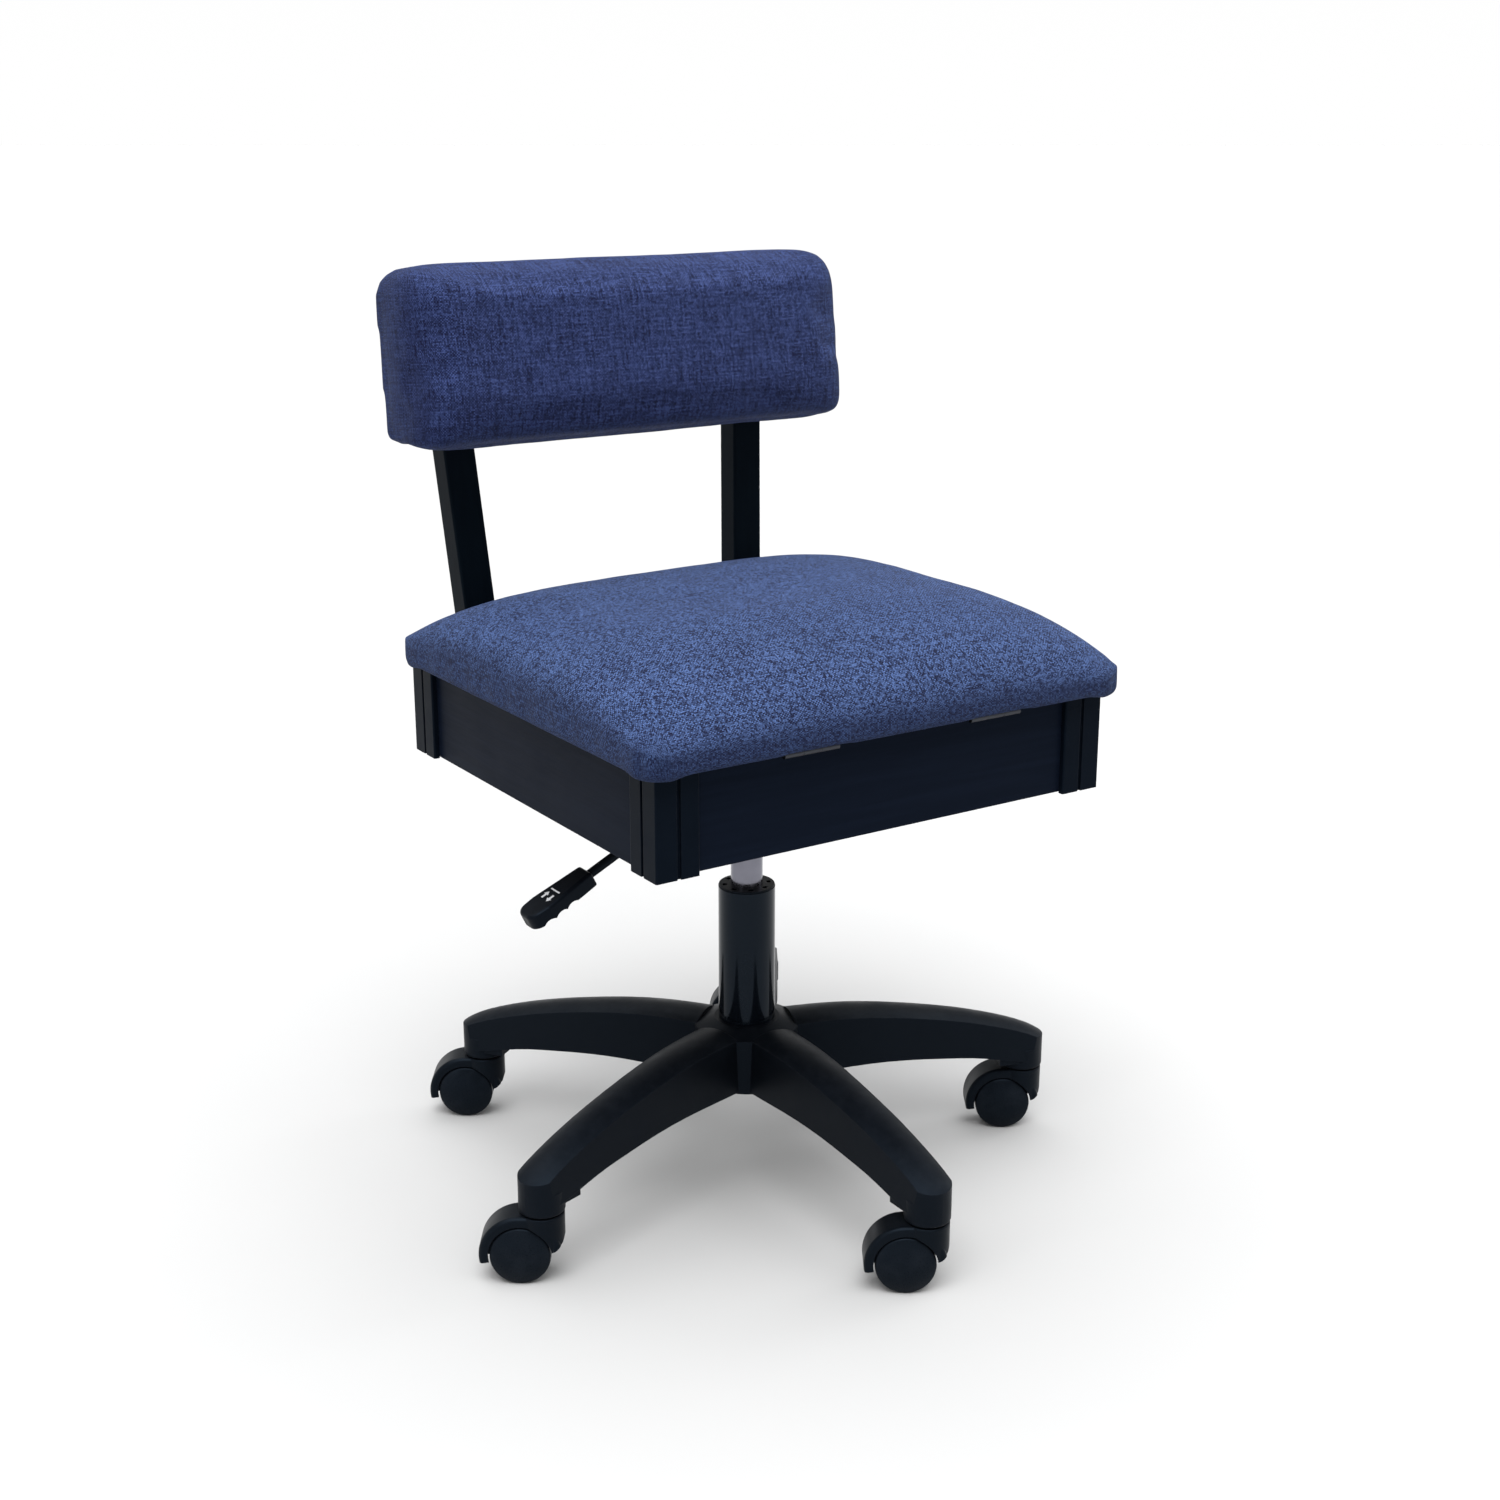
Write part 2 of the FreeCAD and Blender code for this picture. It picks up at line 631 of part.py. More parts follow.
def seat_plate():
    """Pressed plate with turned-down flanges and two ears for the lever's pin."""
    low = PLATE_TOP - PLATE_THICKNESS
    sheet = box((-PLATE_HALF_X, -PLATE_HALF_Y, low), (PLATE_HALF_X, PLATE_HALF_Y, PLATE_TOP))
    sheet = sheet.makeFillet(12.0, edges_along(sheet, Z_AXIS))
    parts = [sheet]
    flange_reach = PLATE_HALF_X - 14.0
    for side in (-1, 1):
        faces = sorted((side * PLATE_HALF_Y, side * (PLATE_HALF_Y - PLATE_THICKNESS)))
        flange_low = (-flange_reach, faces[0], low - PLATE_FLANGE)
        parts.append(box(flange_low, (flange_reach, faces[1], low)))
        ear = sorted((side * EAR_GAP / 2, side * (EAR_GAP / 2 + EAR_THICKNESS)))
        ear_low = (LEVER_PIVOT.x - 9.0, ear[0], LEVER_PIVOT.z - 7.0)
        parts.append(box(ear_low, (LEVER_PIVOT.x + 9.0, ear[1], low)))
    plate = fused(parts)
    pin = rod(LEVER_PIVOT - 40 * Y_AXIS, LEVER_PIVOT + 40 * Y_AXIS, LEVER_PIN_RADIUS)
    return plate.cut(pin)


def plate_bolts():
    """Carriage bolts: low round heads on the box bottom."""
    head_base = PLATE_TOP + BOTTOM_THICKNESS
    bolts = []
    for x, y in plate_bolt_spots():
        shank = upright(PLATE_BOLT_RADIUS, PLATE_TOP - PLATE_THICKNESS - NUT_HEIGHT - 1.5, head_base, x, y)
        dome = Part.makeSphere(12.0, Vector(x, y, head_base - 9.0))
        head = dome.common(upright(9.0, head_base, head_base + 5.0, x, y))
        bolts.append(shank.fuse(head))
    return bolts


def plate_nuts():
    """Hexagon nuts under the plate."""
    nuts = []
    base = PLATE_TOP - PLATE_THICKNESS - NUT_HEIGHT
    for x, y in plate_bolt_spots():
        nut = hexagon(NUT_ACROSS, NUT_HEIGHT, Vector(x, y, base), Z_AXIS)
        nuts.append(nut.cut(upright(PLATE_BOLT_RADIUS, base - 1, base + 20, x, y)))
    return nuts


# ----------------------------------------------------------------- height lever


def lever_rod():
    """Bent rod with a boss at its pivot and a flat tip over the valve pin."""
    path = [LEVER_INNER_END, LEVER_BEND, LEVER_PIVOT, LEVER_OUTER_END]
    parts = [rod(path[k], path[k + 1], LEVER_RADIUS) for k in range(len(path) - 1)]
    parts.append(Part.makeSphere(LEVER_RADIUS, LEVER_BEND))
    half = EAR_GAP / 2 - 0.3
    parts.append(rod(LEVER_PIVOT - half * Y_AXIS, LEVER_PIVOT + half * Y_AXIS, LEVER_BOSS_RADIUS))
    lever = fused(parts)
    return lever.cut(
        rod(LEVER_PIVOT - 20 * Y_AXIS, LEVER_PIVOT + 20 * Y_AXIS, LEVER_PIN_RADIUS + RUNNING_GAP)
    )


def lever_pin():
    """Headed pivot pin across the two ears."""
    reach = EAR_GAP / 2 + EAR_THICKNESS
    shaft = rod(LEVER_PIVOT - (reach + 2.0) * Y_AXIS, LEVER_PIVOT + reach * Y_AXIS, LEVER_PIN_RADIUS)
    head_end = LEVER_PIVOT + (reach + 2.0) * Y_AXIS
    head = rod(LEVER_PIVOT + reach * Y_AXIS, head_end, LEVER_PIN_RADIUS + 2.0)
    return fused([shaft, head])


def lever_paddle(stem):
    """Moulded paddle along the rod's outer end, with finger scallops beneath."""
    half = PADDLE_THICKNESS / 2
    tip = PADDLE_LENGTH
    outline = [
        (0, -PADDLE_NECK_HALF_WIDTH, -half),
        (tip * 0.72, -PADDLE_HALF_WIDTH, -half),
        (tip, -PADDLE_HALF_WIDTH + 2.0, -half),
        (tip, PADDLE_HALF_WIDTH - 2.0, -half),
        (tip * 0.72, PADDLE_HALF_WIDTH, -half),
        (0, PADDLE_NECK_HALF_WIDTH, -half),
    ]
    blade = prism(outline, Vector(0, 0, PADDLE_THICKNESS))
    tips = [e for e in edges_along(blade, Z_AXIS) if e.BoundBox.XMin > tip - 0.01]
    blade = blade.makeFillet(PADDLE_TIP_ROUND, tips)
    necks = [e for e in edges_along(blade, Z_AXIS) if e.BoundBox.XMax < 0.01]
    blade = blade.makeFillet(3.0, necks)
    top_edges = [e for e in blade.Edges if e.BoundBox.ZMin > half - 0.01]
    blade = blade.makeFillet(3.0, top_edges)
    for k in range(3):
        centre = Vector(tip * 0.42 + k * 12.0, 0, -half - SCALLOP_RADIUS + 2.2)
        blade = blade.cut(rod(centre - 40 * Y_AXIS, centre + 40 * Y_AXIS, SCALLOP_RADIUS))
    along = (LEVER_OUTER_END - LEVER_PIVOT).normalize()
    upward = Y_AXIS.cross(along)
    rotation = FreeCAD.Rotation(along, Y_AXIS, upward, "XZY")
    blade.Placement = FreeCAD.Placement(PADDLE_START, rotation)
    return blade.cut(stem)


# ------------------------------------------------------------------ storage box


def corner_moulding():
    """L-shaped fluted moulding on the (+X, +Y) corner."""
    outer_x, outer_y = BOX_HALF_X, BOX_HALF_Y
    low, high = MOULDING_BOTTOM, MOULDING_TOP
    block = box((outer_x - MOULDING_WIDTH, outer_y - MOULDING_WIDTH, low), (outer_x, outer_y, high))
    inside = box((0, 0, low - 1), (outer_x - MOULDING_PROUD, outer_y - MOULDING_PROUD, high + 1))
    moulding = block.cut(inside)
    for x, y in (
        (outer_x, outer_y),
        (outer_x - MOULDING_WIDTH, outer_y),
        (outer_x, outer_y - MOULDING_WIDTH),
    ):
        edges = [
            e for e in edges_along(moulding, Z_AXIS)
            if abs(e.BoundBox.XMin - x) < 0.01 and abs(e.BoundBox.YMin - y) < 0.01
        ]
        moulding = moulding.makeFillet(MOULDING_ROUND, edges)
    near = MOULDING_GROOVE_AT - MOULDING_GROOVE_WIDTH / 2
    far = MOULDING_GROOVE_AT + MOULDING_GROOVE_WIDTH / 2
    depth = MOULDING_GROOVE_DEPTH
    groove_x = box((outer_x - far, outer_y - depth, low - 1), (outer_x - near, outer_y + 5, high + 1))
    groove_y = box((outer_x - depth, outer_y - far, low - 1), (outer_x + 5, outer_y - near, high + 1))
    return moulding.cut(groove_x).cut(groove_y)


def corner_mouldings():
    """The four corner mouldings, mirrored from one."""
    rear_right = corner_moulding()
    front_right = rear_right.mirror(ORIGIN, Y_AXIS)
    return [rear_right, front_right, mirrored(rear_right), mirrored(front_right)]


def box_boards():
    """Plain boards of the storage box, by name."""
    x = BOX_HALF_X - MOULDING_PROUD
    y = BOX_HALF_Y - MOULDING_PROUD
    inner_x = x - PANEL_THICKNESS
    inner_y = y - PANEL_THICKNESS
    floor_top = PLATE_TOP + BOTTOM_THICKNESS
    return {
        "front_panel": box((-x, -y, PANEL_BOTTOM), (x, -inner_y, BOX_TOP)),
        "rear_panel": box((-x, inner_y, PANEL_BOTTOM), (x, y, BOX_TOP)),
        "left_panel": box((-x, -inner_y, PANEL_BOTTOM), (-inner_x, inner_y, BOX_TOP)),
        "right_panel": box((inner_x, -inner_y, PANEL_BOTTOM), (x, inner_y, BOX_TOP)),
        "box_bottom": box((-inner_x, -inner_y, PLATE_TOP), (inner_x, inner_y, floor_top)),
    }


# ---------------------------------------------------------------------- hinges


def knuckle(centre, start, end, radius):
    """Part of a hinge barrel between two distances from the hinge's centre."""
    y, z = HINGE_AXIS_Y, HINGE_AXIS_Z
    return rod(Vector(centre + start, y, z), Vector(centre + end, y, z), radius)


def hinge_leaf(centre, on_lid):
    """One leaf with its share of the barrel: the middle third is the lid's."""
    half = HINGE_LENGTH / 2
    third = HINGE_LENGTH / 6
    low = LID_BOTTOM - LEAF_THICKNESS if on_lid else BOX_TOP
    spans = [(-third + KNUCKLE_GAP, third - KNUCKLE_GAP)]
    if not on_lid:
        spans = [(-half, -third), (third, half)]
    sheet_y = HINGE_AXIS_Y + KNUCKLE_RADIUS + 0.4
    parts = [box((centre - half, sheet_y, low), (centre + half, LEAF_END_Y, low + LEAF_THICKNESS))]
    for start, end in spans:
        root = box((centre + start, HINGE_AXIS_Y, low), (centre + end, sheet_y + 0.1, low + LEAF_THICKNESS))
        parts.append(root)
        parts.append(knuckle(centre, start, end, KNUCKLE_RADIUS))
    gap = HINGE_PIN_GAP if on_lid else 0.0
    return fused(parts).cut(knuckle(centre, -60.0, 60.0, HINGE_PIN_RADIUS + gap))


def hinge_screws(on_lid):
    """Countersunk wood screws through the leaves, up into the lid or down into the box."""
    up = 1.0 if on_lid else -1.0
    surface = LID_BOTTOM - LEAF_THICKNESS if on_lid else BOX_TOP + LEAF_THICKNESS
    row = (LEAF_END_Y + HINGE_AXIS_Y) / 2 + 4.5
    screws = []
    for centre in HINGE_CENTRES:
        for k in (-1, 0, 1):
            head = Vector(centre + k * HINGE_SCREW_PITCH, row, surface)
            tip = head + Vector(0, 0, up * HINGE_SCREW_LENGTH)
            cone = Part.makeCone(HINGE_SCREW_HEAD, HINGE_SCREW_RADIUS, 2.2, head, Vector(0, 0, up))
            screws.append(fused([rod(head, tip, HINGE_SCREW_RADIUS), cone]))
    return screws


# ------------------------------------------------------------------------- lid


def rounded_outline(inset, height):
    """Rounded rectangle of the cushion's plan, drawn in by inset."""
    left, right = -CUSHION_HALF_X + inset, CUSHION_HALF_X - inset
    front, rear = CUSHION_FRONT + inset, CUSHION_REAR - inset
    radius = min(CUSHION_CORNER + inset * 0.25, (rear - front) / 2 - 0.5)
    edges = []
    corners = ((right, rear, 0), (left, rear, 90), (left, front, 180), (right, front, 270))
    ends = []
    for x, y, start in corners:
        cx = x - math.copysign(radius, x)
        cy = y - radius if y == rear else y + radius
        points = []
        for turn in (0, 45, 90):
            angle = math.radians(start + turn)
            points.append(Vector(cx + radius * math.cos(angle), cy + radius * math.sin(angle), height))
        ends.append(points)
    for k, points in enumerate(ends):
        following = ends[(k + 1) % len(ends)]
        edges.append(Part.Arc(*points).toShape())
        edges.append(Part.LineSegment(points[2], following[0]).toShape())
    return Part.Wire(edges)


def seat_cushion(board):
    """Domed cushion around the board, relieved over the hinge barrels."""
    sections = [rounded_outline(inset, LID_BOTTOM + up) for up, inset in CUSHION_PROFILE]
    cushion = Part.makeLoft(sections, True, True)
    cushion = cushion.cut(board)
    reliefs = []
    reach = HINGE_LENGTH / 2 + 2.0
    for centre in HINGE_CENTRES:
        low = (centre - reach, CUSHION_FRONT - 5.0, LID_BOTTOM - 5.0)
        reliefs.append(box(low, (centre + reach, BOARD_FRONT, HINGE_AXIS_Z + 4.2)))
    return cushion.cut(Part.makeCompound(reliefs))


def save_box_and_lid():
    """Storage box, hinges and hinged padded seat."""
    board = box((-BOARD_HALF_X, BOARD_FRONT, LID_BOTTOM), (BOARD_HALF_X, BOARD_REAR, LID_BOTTOM + BOARD_THICKNESS))
    lid_screws = Part.makeCompound(hinge_screws(True))
    box_screws = Part.makeCompound(hinge_screws(False))
    fixings = Part.makeCompound([box_screws] + plate_bolts() + post_bolts())
    for name, board_shape in box_boards().items():
        save(name, board_shape.cut(fixings))
    save("corner_mouldings", *corner_mouldings())
    save("hinge_box_leaves", *[hinge_leaf(c, False).cut(box_screws) for c in HINGE_CENTRES])
    save("hinge_lid_leaves", *[hinge_leaf(c, True).cut(lid_screws) for c in HINGE_CENTRES])
    half = HINGE_LENGTH / 2
    save("hinge_pins", *[knuckle(c, -half, half, HINGE_PIN_RADIUS) for c in HINGE_CENTRES])
    save("hinge_box_screws", box_screws)
    save("hinge_lid_screws", lid_screws)
    save("seat_board", board.cut(lid_screws))
    save("seat_cushion", seat_cushion(board))
    liner_low = (-BOARD_HALF_X + 24.0, LEAF_END_Y + 5.0, LID_BOTTOM - LINER_THICKNESS)
    save("seat_liner", box(liner_low, (BOARD_HALF_X - 24.0, BOARD_REAR - 14.0, LID_BOTTOM)))


# ------------------------------------------------------------------------ back
# The back is drawn upright, with the posts' front faces on Y = 0 and heights
# measured from the box top, and then leant back and set on the rear panel.


def leant(shape):
    """Lean a shape back and move it behind the box top."""
    copy = turned(shape, ORIGIN, X_AXIS, -LEAN)
    return moved(copy, Vector(0, POST_FOOT_Y, BOX_TOP))


def splayed(shape, side):
    """Splay a post, drawn on X = 0, outwards to one side."""
    copy = turned(shape, ORIGIN, Y_AXIS, side * SPLAY)
    return moved(copy, Vector(side * POST_FOOT_X, 0, 0))


def back_post(side):
    """Leaning post with a heel that sits flat on the rear panel."""
    half = POST_WIDTH / 2
    bar = box((-half, 0, -90.0), (half, POST_DEPTH, POST_LENGTH))
    bar = bar.makeFillet(POST_ROUND, edges_along(bar, Z_AXIS))
    bar = leant(splayed(bar, side))
    bar = bar.cut(box((-400, 0, 0), (400, 400, POST_BOTTOM)))
    rear_face = BOX_HALF_Y - MOULDING_PROUD
    drop = BOX_TOP - (POST_BOTTOM + POST_HEEL_TOP) / 2
    centre = side * (POST_FOOT_X - drop * math.tan(math.radians(SPLAY)))
    heel = box((centre - half, rear_face, POST_BOTTOM), (centre + half, POST_FOOT_Y + 8.0, POST_HEEL_TOP))
    slope = prism(
        [
            (centre - half, rear_face, POST_HEEL_TOP + 1.0),
            (centre - half, rear_face, POST_HEEL_TOP - 6.0),
            (centre - half, POST_FOOT_Y - 1.0, POST_HEEL_TOP + 1.0),
        ],
        Vector(POST_WIDTH, 0, 0),
    )
    post = bar.fuse(heel.cut(slope)).removeSplitter()
    return post.cut(Part.makeCompound(post_bolts() + back_bolts()))


def post_bolt_spots():
    """Centre line, height and rear face of the post at each foot bolt."""
    spots = []
    for side in (-1, 1):
        for height in POST_BOLT_HEIGHTS:
            drop = BOX_TOP - height
            x = side * (POST_FOOT_X - drop * math.tan(math.radians(SPLAY)))
            back = POST_FOOT_Y - drop * math.tan(math.radians(LEAN)) + POST_DEPTH
            spots.append((x, height, back))
    return spots


def post_bolts():
    """Bolts through each post's foot and the rear panel, heads sunk from behind."""
    bolts = []
    inside = BOX_HALF_Y - MOULDING_PROUD - PANEL_THICKNESS
    for x, height, back in post_bolt_spots():
        head_face = back - 3.0
        end = Vector(x, inside - NUT_HEIGHT - 1.5, height)
        shank = rod(end, Vector(x, head_face, height), POST_BOLT_RADIUS)
        head = rod(Vector(x, head_face, height), Vector(x, head_face + BOLT_HEAD_HEIGHT, height), BOLT_HEAD_RADIUS)
        bolts.append(fused([shank, head]))
    return bolts


def post_nuts():
    """Nuts for the foot bolts, inside the box."""
    inside = BOX_HALF_Y - MOULDING_PROUD - PANEL_THICKNESS
    nuts = []
    for x, height, _ in post_bolt_spots():
        nut = hexagon(NUT_ACROSS, NUT_HEIGHT, Vector(x, inside, height), -Y_AXIS)
        hole = rod(Vector(x, inside - 20, height), Vector(x, inside + 1, height), POST_BOLT_RADIUS)
        nuts.append(nut.cut(hole))
    return nuts


def back_bolt_lines():
    """Position of each back bolt in the upright drawing of the back."""
    lines = []
    for side in (-1, 1):
        for height in BACK_BOLT_HEIGHTS:
            lines.append((side * (POST_FOOT_X + height * math.tan(math.radians(SPLAY))), height))
    return lines


def back_bolts():
    """Dome-headed bolts through the posts into the back board."""
    bolts = []
    for x, height in back_bolt_lines():
        back = Vector(x, POST_DEPTH, height)
        shank = rod(Vector(x, -BACK_BOARD_THICKNESS, height), back, BACK_BOLT_RADIUS)
        dome = Part.makeSphere(9.0, Vector(x, POST_DEPTH - 5.5, height))
        head = dome.common(rod(back, back + 6 * Y_AXIS, 7.0))
        bolts.append(leant(shank.fuse(head)))
    return bolts


def back_tee_nuts():
    """Pronged nuts on the front of the board, under the foam."""
    nuts = []
    face = -BACK_BOARD_THICKNESS - 0.3
    for x, height in back_bolt_lines():
        flange = rod(Vector(x, face - 1.6, height), Vector(x, face, height), 10.0)
        nuts.append(leant(flange))
    return nuts


def back_board():
    """Plywood board at the back of the pad."""
    gap = BACK_OUTLINE[0][0]
    low = (-BACK_BOARD_HALF_X, gap - BACK_BOARD_THICKNESS, BACK_BOARD_LOW)
    board = box(low, (BACK_BOARD_HALF_X, gap, BACK_BOARD_HIGH))
    board = board.makeFillet(20.0, edges_along(board, Y_AXIS))
    return leant(board)


def back_cushion(board):
    """Wedge-shaped pad in front of the posts, rounded all round."""
    outline = [(-BACK_HALF_X, y, z) for y, z in BACK_OUTLINE]
    pad = prism(outline, Vector(2 * BACK_HALF_X, 0, 0))
    pad = pad.makeFillet(BACK_PAD_ROUND, edges_along(pad, X_AXIS))
    for end in (-BACK_HALF_X, BACK_HALF_X):
        rim = [e for e in pad.Edges if abs(e.BoundBox.XMin - end) < 0.01 and abs(e.BoundBox.XMax - end) < 0.01]
        pad = pad.makeFillet(BACK_END_ROUND, rim)
    return leant(pad).cut(board).cut(Part.makeCompound(back_tee_nuts()))


def save_back():
    """Posts, board, pad and their fixings."""
    bolts = back_bolts()
    board = back_board()
    save("back_post_left", back_post(-1))
    save("back_post_right", back_post(1))
    save("post_bolts", *post_bolts())
    save("post_nuts", *post_nuts())
    save("back_bolts", *bolts)
    save("back_tee_nuts", *back_tee_nuts())
    save("back_board", board.cut(Part.makeCompound(bolts)))
    save("back_cushion", back_cushion(board))


# ------------------------------------------------------------------------ build

pieces = {}
os.makedirs("parts", exist_ok=True)

save("star_base", star_base())
stem = caster_stem()
sleeve = grip_ring()
save("caster_stems", *[moved(stem, stem_position(angle)) for angle in arm_angles()])
save("grip_rings", *[moved(sleeve, stem_position(angle)) for angle in arm_angles()])
save_casters()
save_gas_lift()

save("taper_socket", taper_socket())
bolts = plate_bolts()
save("seat_plate", seat_plate().cut(Part.makeCompound(bolts)))
save("plate_bolts", *bolts)
save("plate_nuts", *plate_nuts())
lever = lever_rod()
save("lever_rod", lever)
save("lever_paddle", lever_paddle(lever))
save("lever_pin", lever_pin())

save_box_and_lid()
save_back()

for name, shape in sorted(pieces.items()):
    bounds = shape.BoundBox
    print(
        f"{name:30s} valid {shape.isValid()} solids {len(shape.Solids):2d} volume {shape.Volume:11.1f}"
        f"  x {bounds.XMin:8.1f} {bounds.XMax:8.1f}  y {bounds.YMin:8.1f} {bounds.YMax:8.1f}"
        f"  z {bounds.ZMin:8.1f} {bounds.ZMax:8.1f}"
    )
print(len(pieces), "pieces")
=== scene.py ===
import math

import bmesh
import bpy
import numpy as np
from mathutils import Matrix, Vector


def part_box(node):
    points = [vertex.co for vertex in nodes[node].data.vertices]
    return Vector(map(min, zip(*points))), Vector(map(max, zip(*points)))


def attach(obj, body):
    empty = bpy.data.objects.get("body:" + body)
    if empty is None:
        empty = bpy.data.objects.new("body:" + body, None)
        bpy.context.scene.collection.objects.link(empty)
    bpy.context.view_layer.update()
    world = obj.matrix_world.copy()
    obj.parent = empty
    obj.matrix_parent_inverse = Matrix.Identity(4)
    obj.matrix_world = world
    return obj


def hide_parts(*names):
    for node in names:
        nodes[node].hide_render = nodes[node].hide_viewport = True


# Low-backed swivel stool with a storage box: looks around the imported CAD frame.
# Metres throughout; +Z up, the sitter faces -Y, the lever is on the -X side.

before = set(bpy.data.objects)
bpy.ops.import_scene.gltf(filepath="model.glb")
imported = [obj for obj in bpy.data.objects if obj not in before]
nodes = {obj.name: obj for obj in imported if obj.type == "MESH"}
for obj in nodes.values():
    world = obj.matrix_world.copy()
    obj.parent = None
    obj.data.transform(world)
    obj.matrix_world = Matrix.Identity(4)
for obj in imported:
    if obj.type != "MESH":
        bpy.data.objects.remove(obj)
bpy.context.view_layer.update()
scene = bpy.context.scene
rng = np.random.default_rng(7)

# ------------------------------------------------------------------- dimensions
MM = 0.001
BOARD_LOW, BOARD_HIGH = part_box("seat_board")
LID_Z = BOARD_LOW.z

# Seat pad: half width, front and rear, and the middle and half depth that follow.
SEAT_HALF = 0.2306
SEAT_FRONT, SEAT_REAR = -0.2233, 0.2052
SEAT_MIDDLE = (SEAT_FRONT + SEAT_REAR) / 2
SEAT_REACH = (SEAT_REAR - SEAT_FRONT) / 2
SEAT_EDGE_WRAP = 0.025
SEAT_CELL = 0.0062

# Its dome is a superellipse above the widest line: (exponent inside, exponent outside).
SEAT_WIDEST_Z = 0.4655
SEAT_SIDE_RISE = 0.0030
SEAT_DOME_HEIGHT = 0.0648
SEAT_DOME_X = (3.4, 0.35)
SEAT_DOME_Y = (3.05, 0.60)

# Cloth rings over the shoulder, then (inward, down) from the widest line to the tucked lip.
SHOULDER_RINGS = 8
SHOULDER_CROWDING = 1.8
SEAT_TUCK = (
    (0.0, -0.0032), (-0.0006, -0.0062), (-0.0021, -0.0088), (-0.0046, -0.0104),
    (-0.0085, -0.0110), (-0.0125, -0.0108),
)
BOARD_GAP = 0.0006

# Corner pleats of the seat: heading and width in degrees, and depth.
SEAT_PLEATS = ((22.0, 5.0, 0.0021), (66.0, 5.5, 0.0024), (44.0, 9.0, -0.0008))
PLEAT_FOOT_Z, PLEAT_HEAD_Z = 0.458, 0.488
STAPLE_TUG = 0.0007
TUG_SPACING = 0.036
CORNER_SAG = 0.0026
HINGE_LENGTH = 0.050

# Back pad, in the leaning frame of the posts. Its section's corners are
# (forward, up, radius), where forward of the posts is negative.
BACK_LEAN = math.radians(5.5)
BACK_FOOT = Vector((0, 0.2122, 0.4520))
BACK_HALF = 0.2190
BACK_END_ROUND = 0.024
BACK_SECTION = (
    (-0.0004, 0.1870, 0.006), (-0.0748, 0.1812, 0.019), (-0.0785, 0.2230, 0.060),
    (-0.0680, 0.3350, 0.036), (-0.0004, 0.3350, 0.010),
)
BACK_SECTION_STEP = 0.005
BACK_CELL = 0.0052
LONGEST_ROUNDING = 0.030

# Pull lines at each end of the back: height, slope, length and depth.
BACK_PULLS = (
    (0.292, 0.10, 0.120, 0.0009), (0.270, 0.06, 0.085, 0.0006), (0.246, -0.03, 0.060, 0.0004),
)
PULL_WIDTH = 0.0035
FOLD_DEPTH = 0.0022
FOLD_PITCH = 0.0024

# Cloth runs that puff the pads, and the furthest that a point may move.
CLOTH_FRAMES = 20
CLOTH_PRESSURE = 4.0
SEAT_PUFF = 0.0045
BACK_PUFF = 0.0040

# Small parts: a staple's length, width and height, and the hem under the lid.
STAPLE = (0.0105, 0.0012, 0.0007)
STAPLE_CHAMFER = 0.00012
HEM_WIDTH, HEM_THICKNESS, HEM_STEP = 0.0262, 0.0007, 0.004

# Black surfaces reflect little, and slightly blue.
BLACK_SHINE = 0.09
BLACK_TINT = (0.50, 0.72, 1.0, 1.0)

# Fabric: how dark its painted shade turns it down the sides, and warp against weft.
PAINTED_SIDE_SHADE = 0.44
CROSSING_TONE = 0.16

# Most of a noise's values lie between these two.
NOISE_MIDDLE = (0.3, 0.7)


# --------------------------------------------------------------- material tools


# Socket numbers of the mix node, whose sockets share their names between data types.
MIX_FACTOR = 0
MIX_FLOAT_A, MIX_FLOAT_B = 2, 3
MIX_COLOUR_A, MIX_COLOUR_B, MIX_COLOUR_OUT = 6, 7, 2


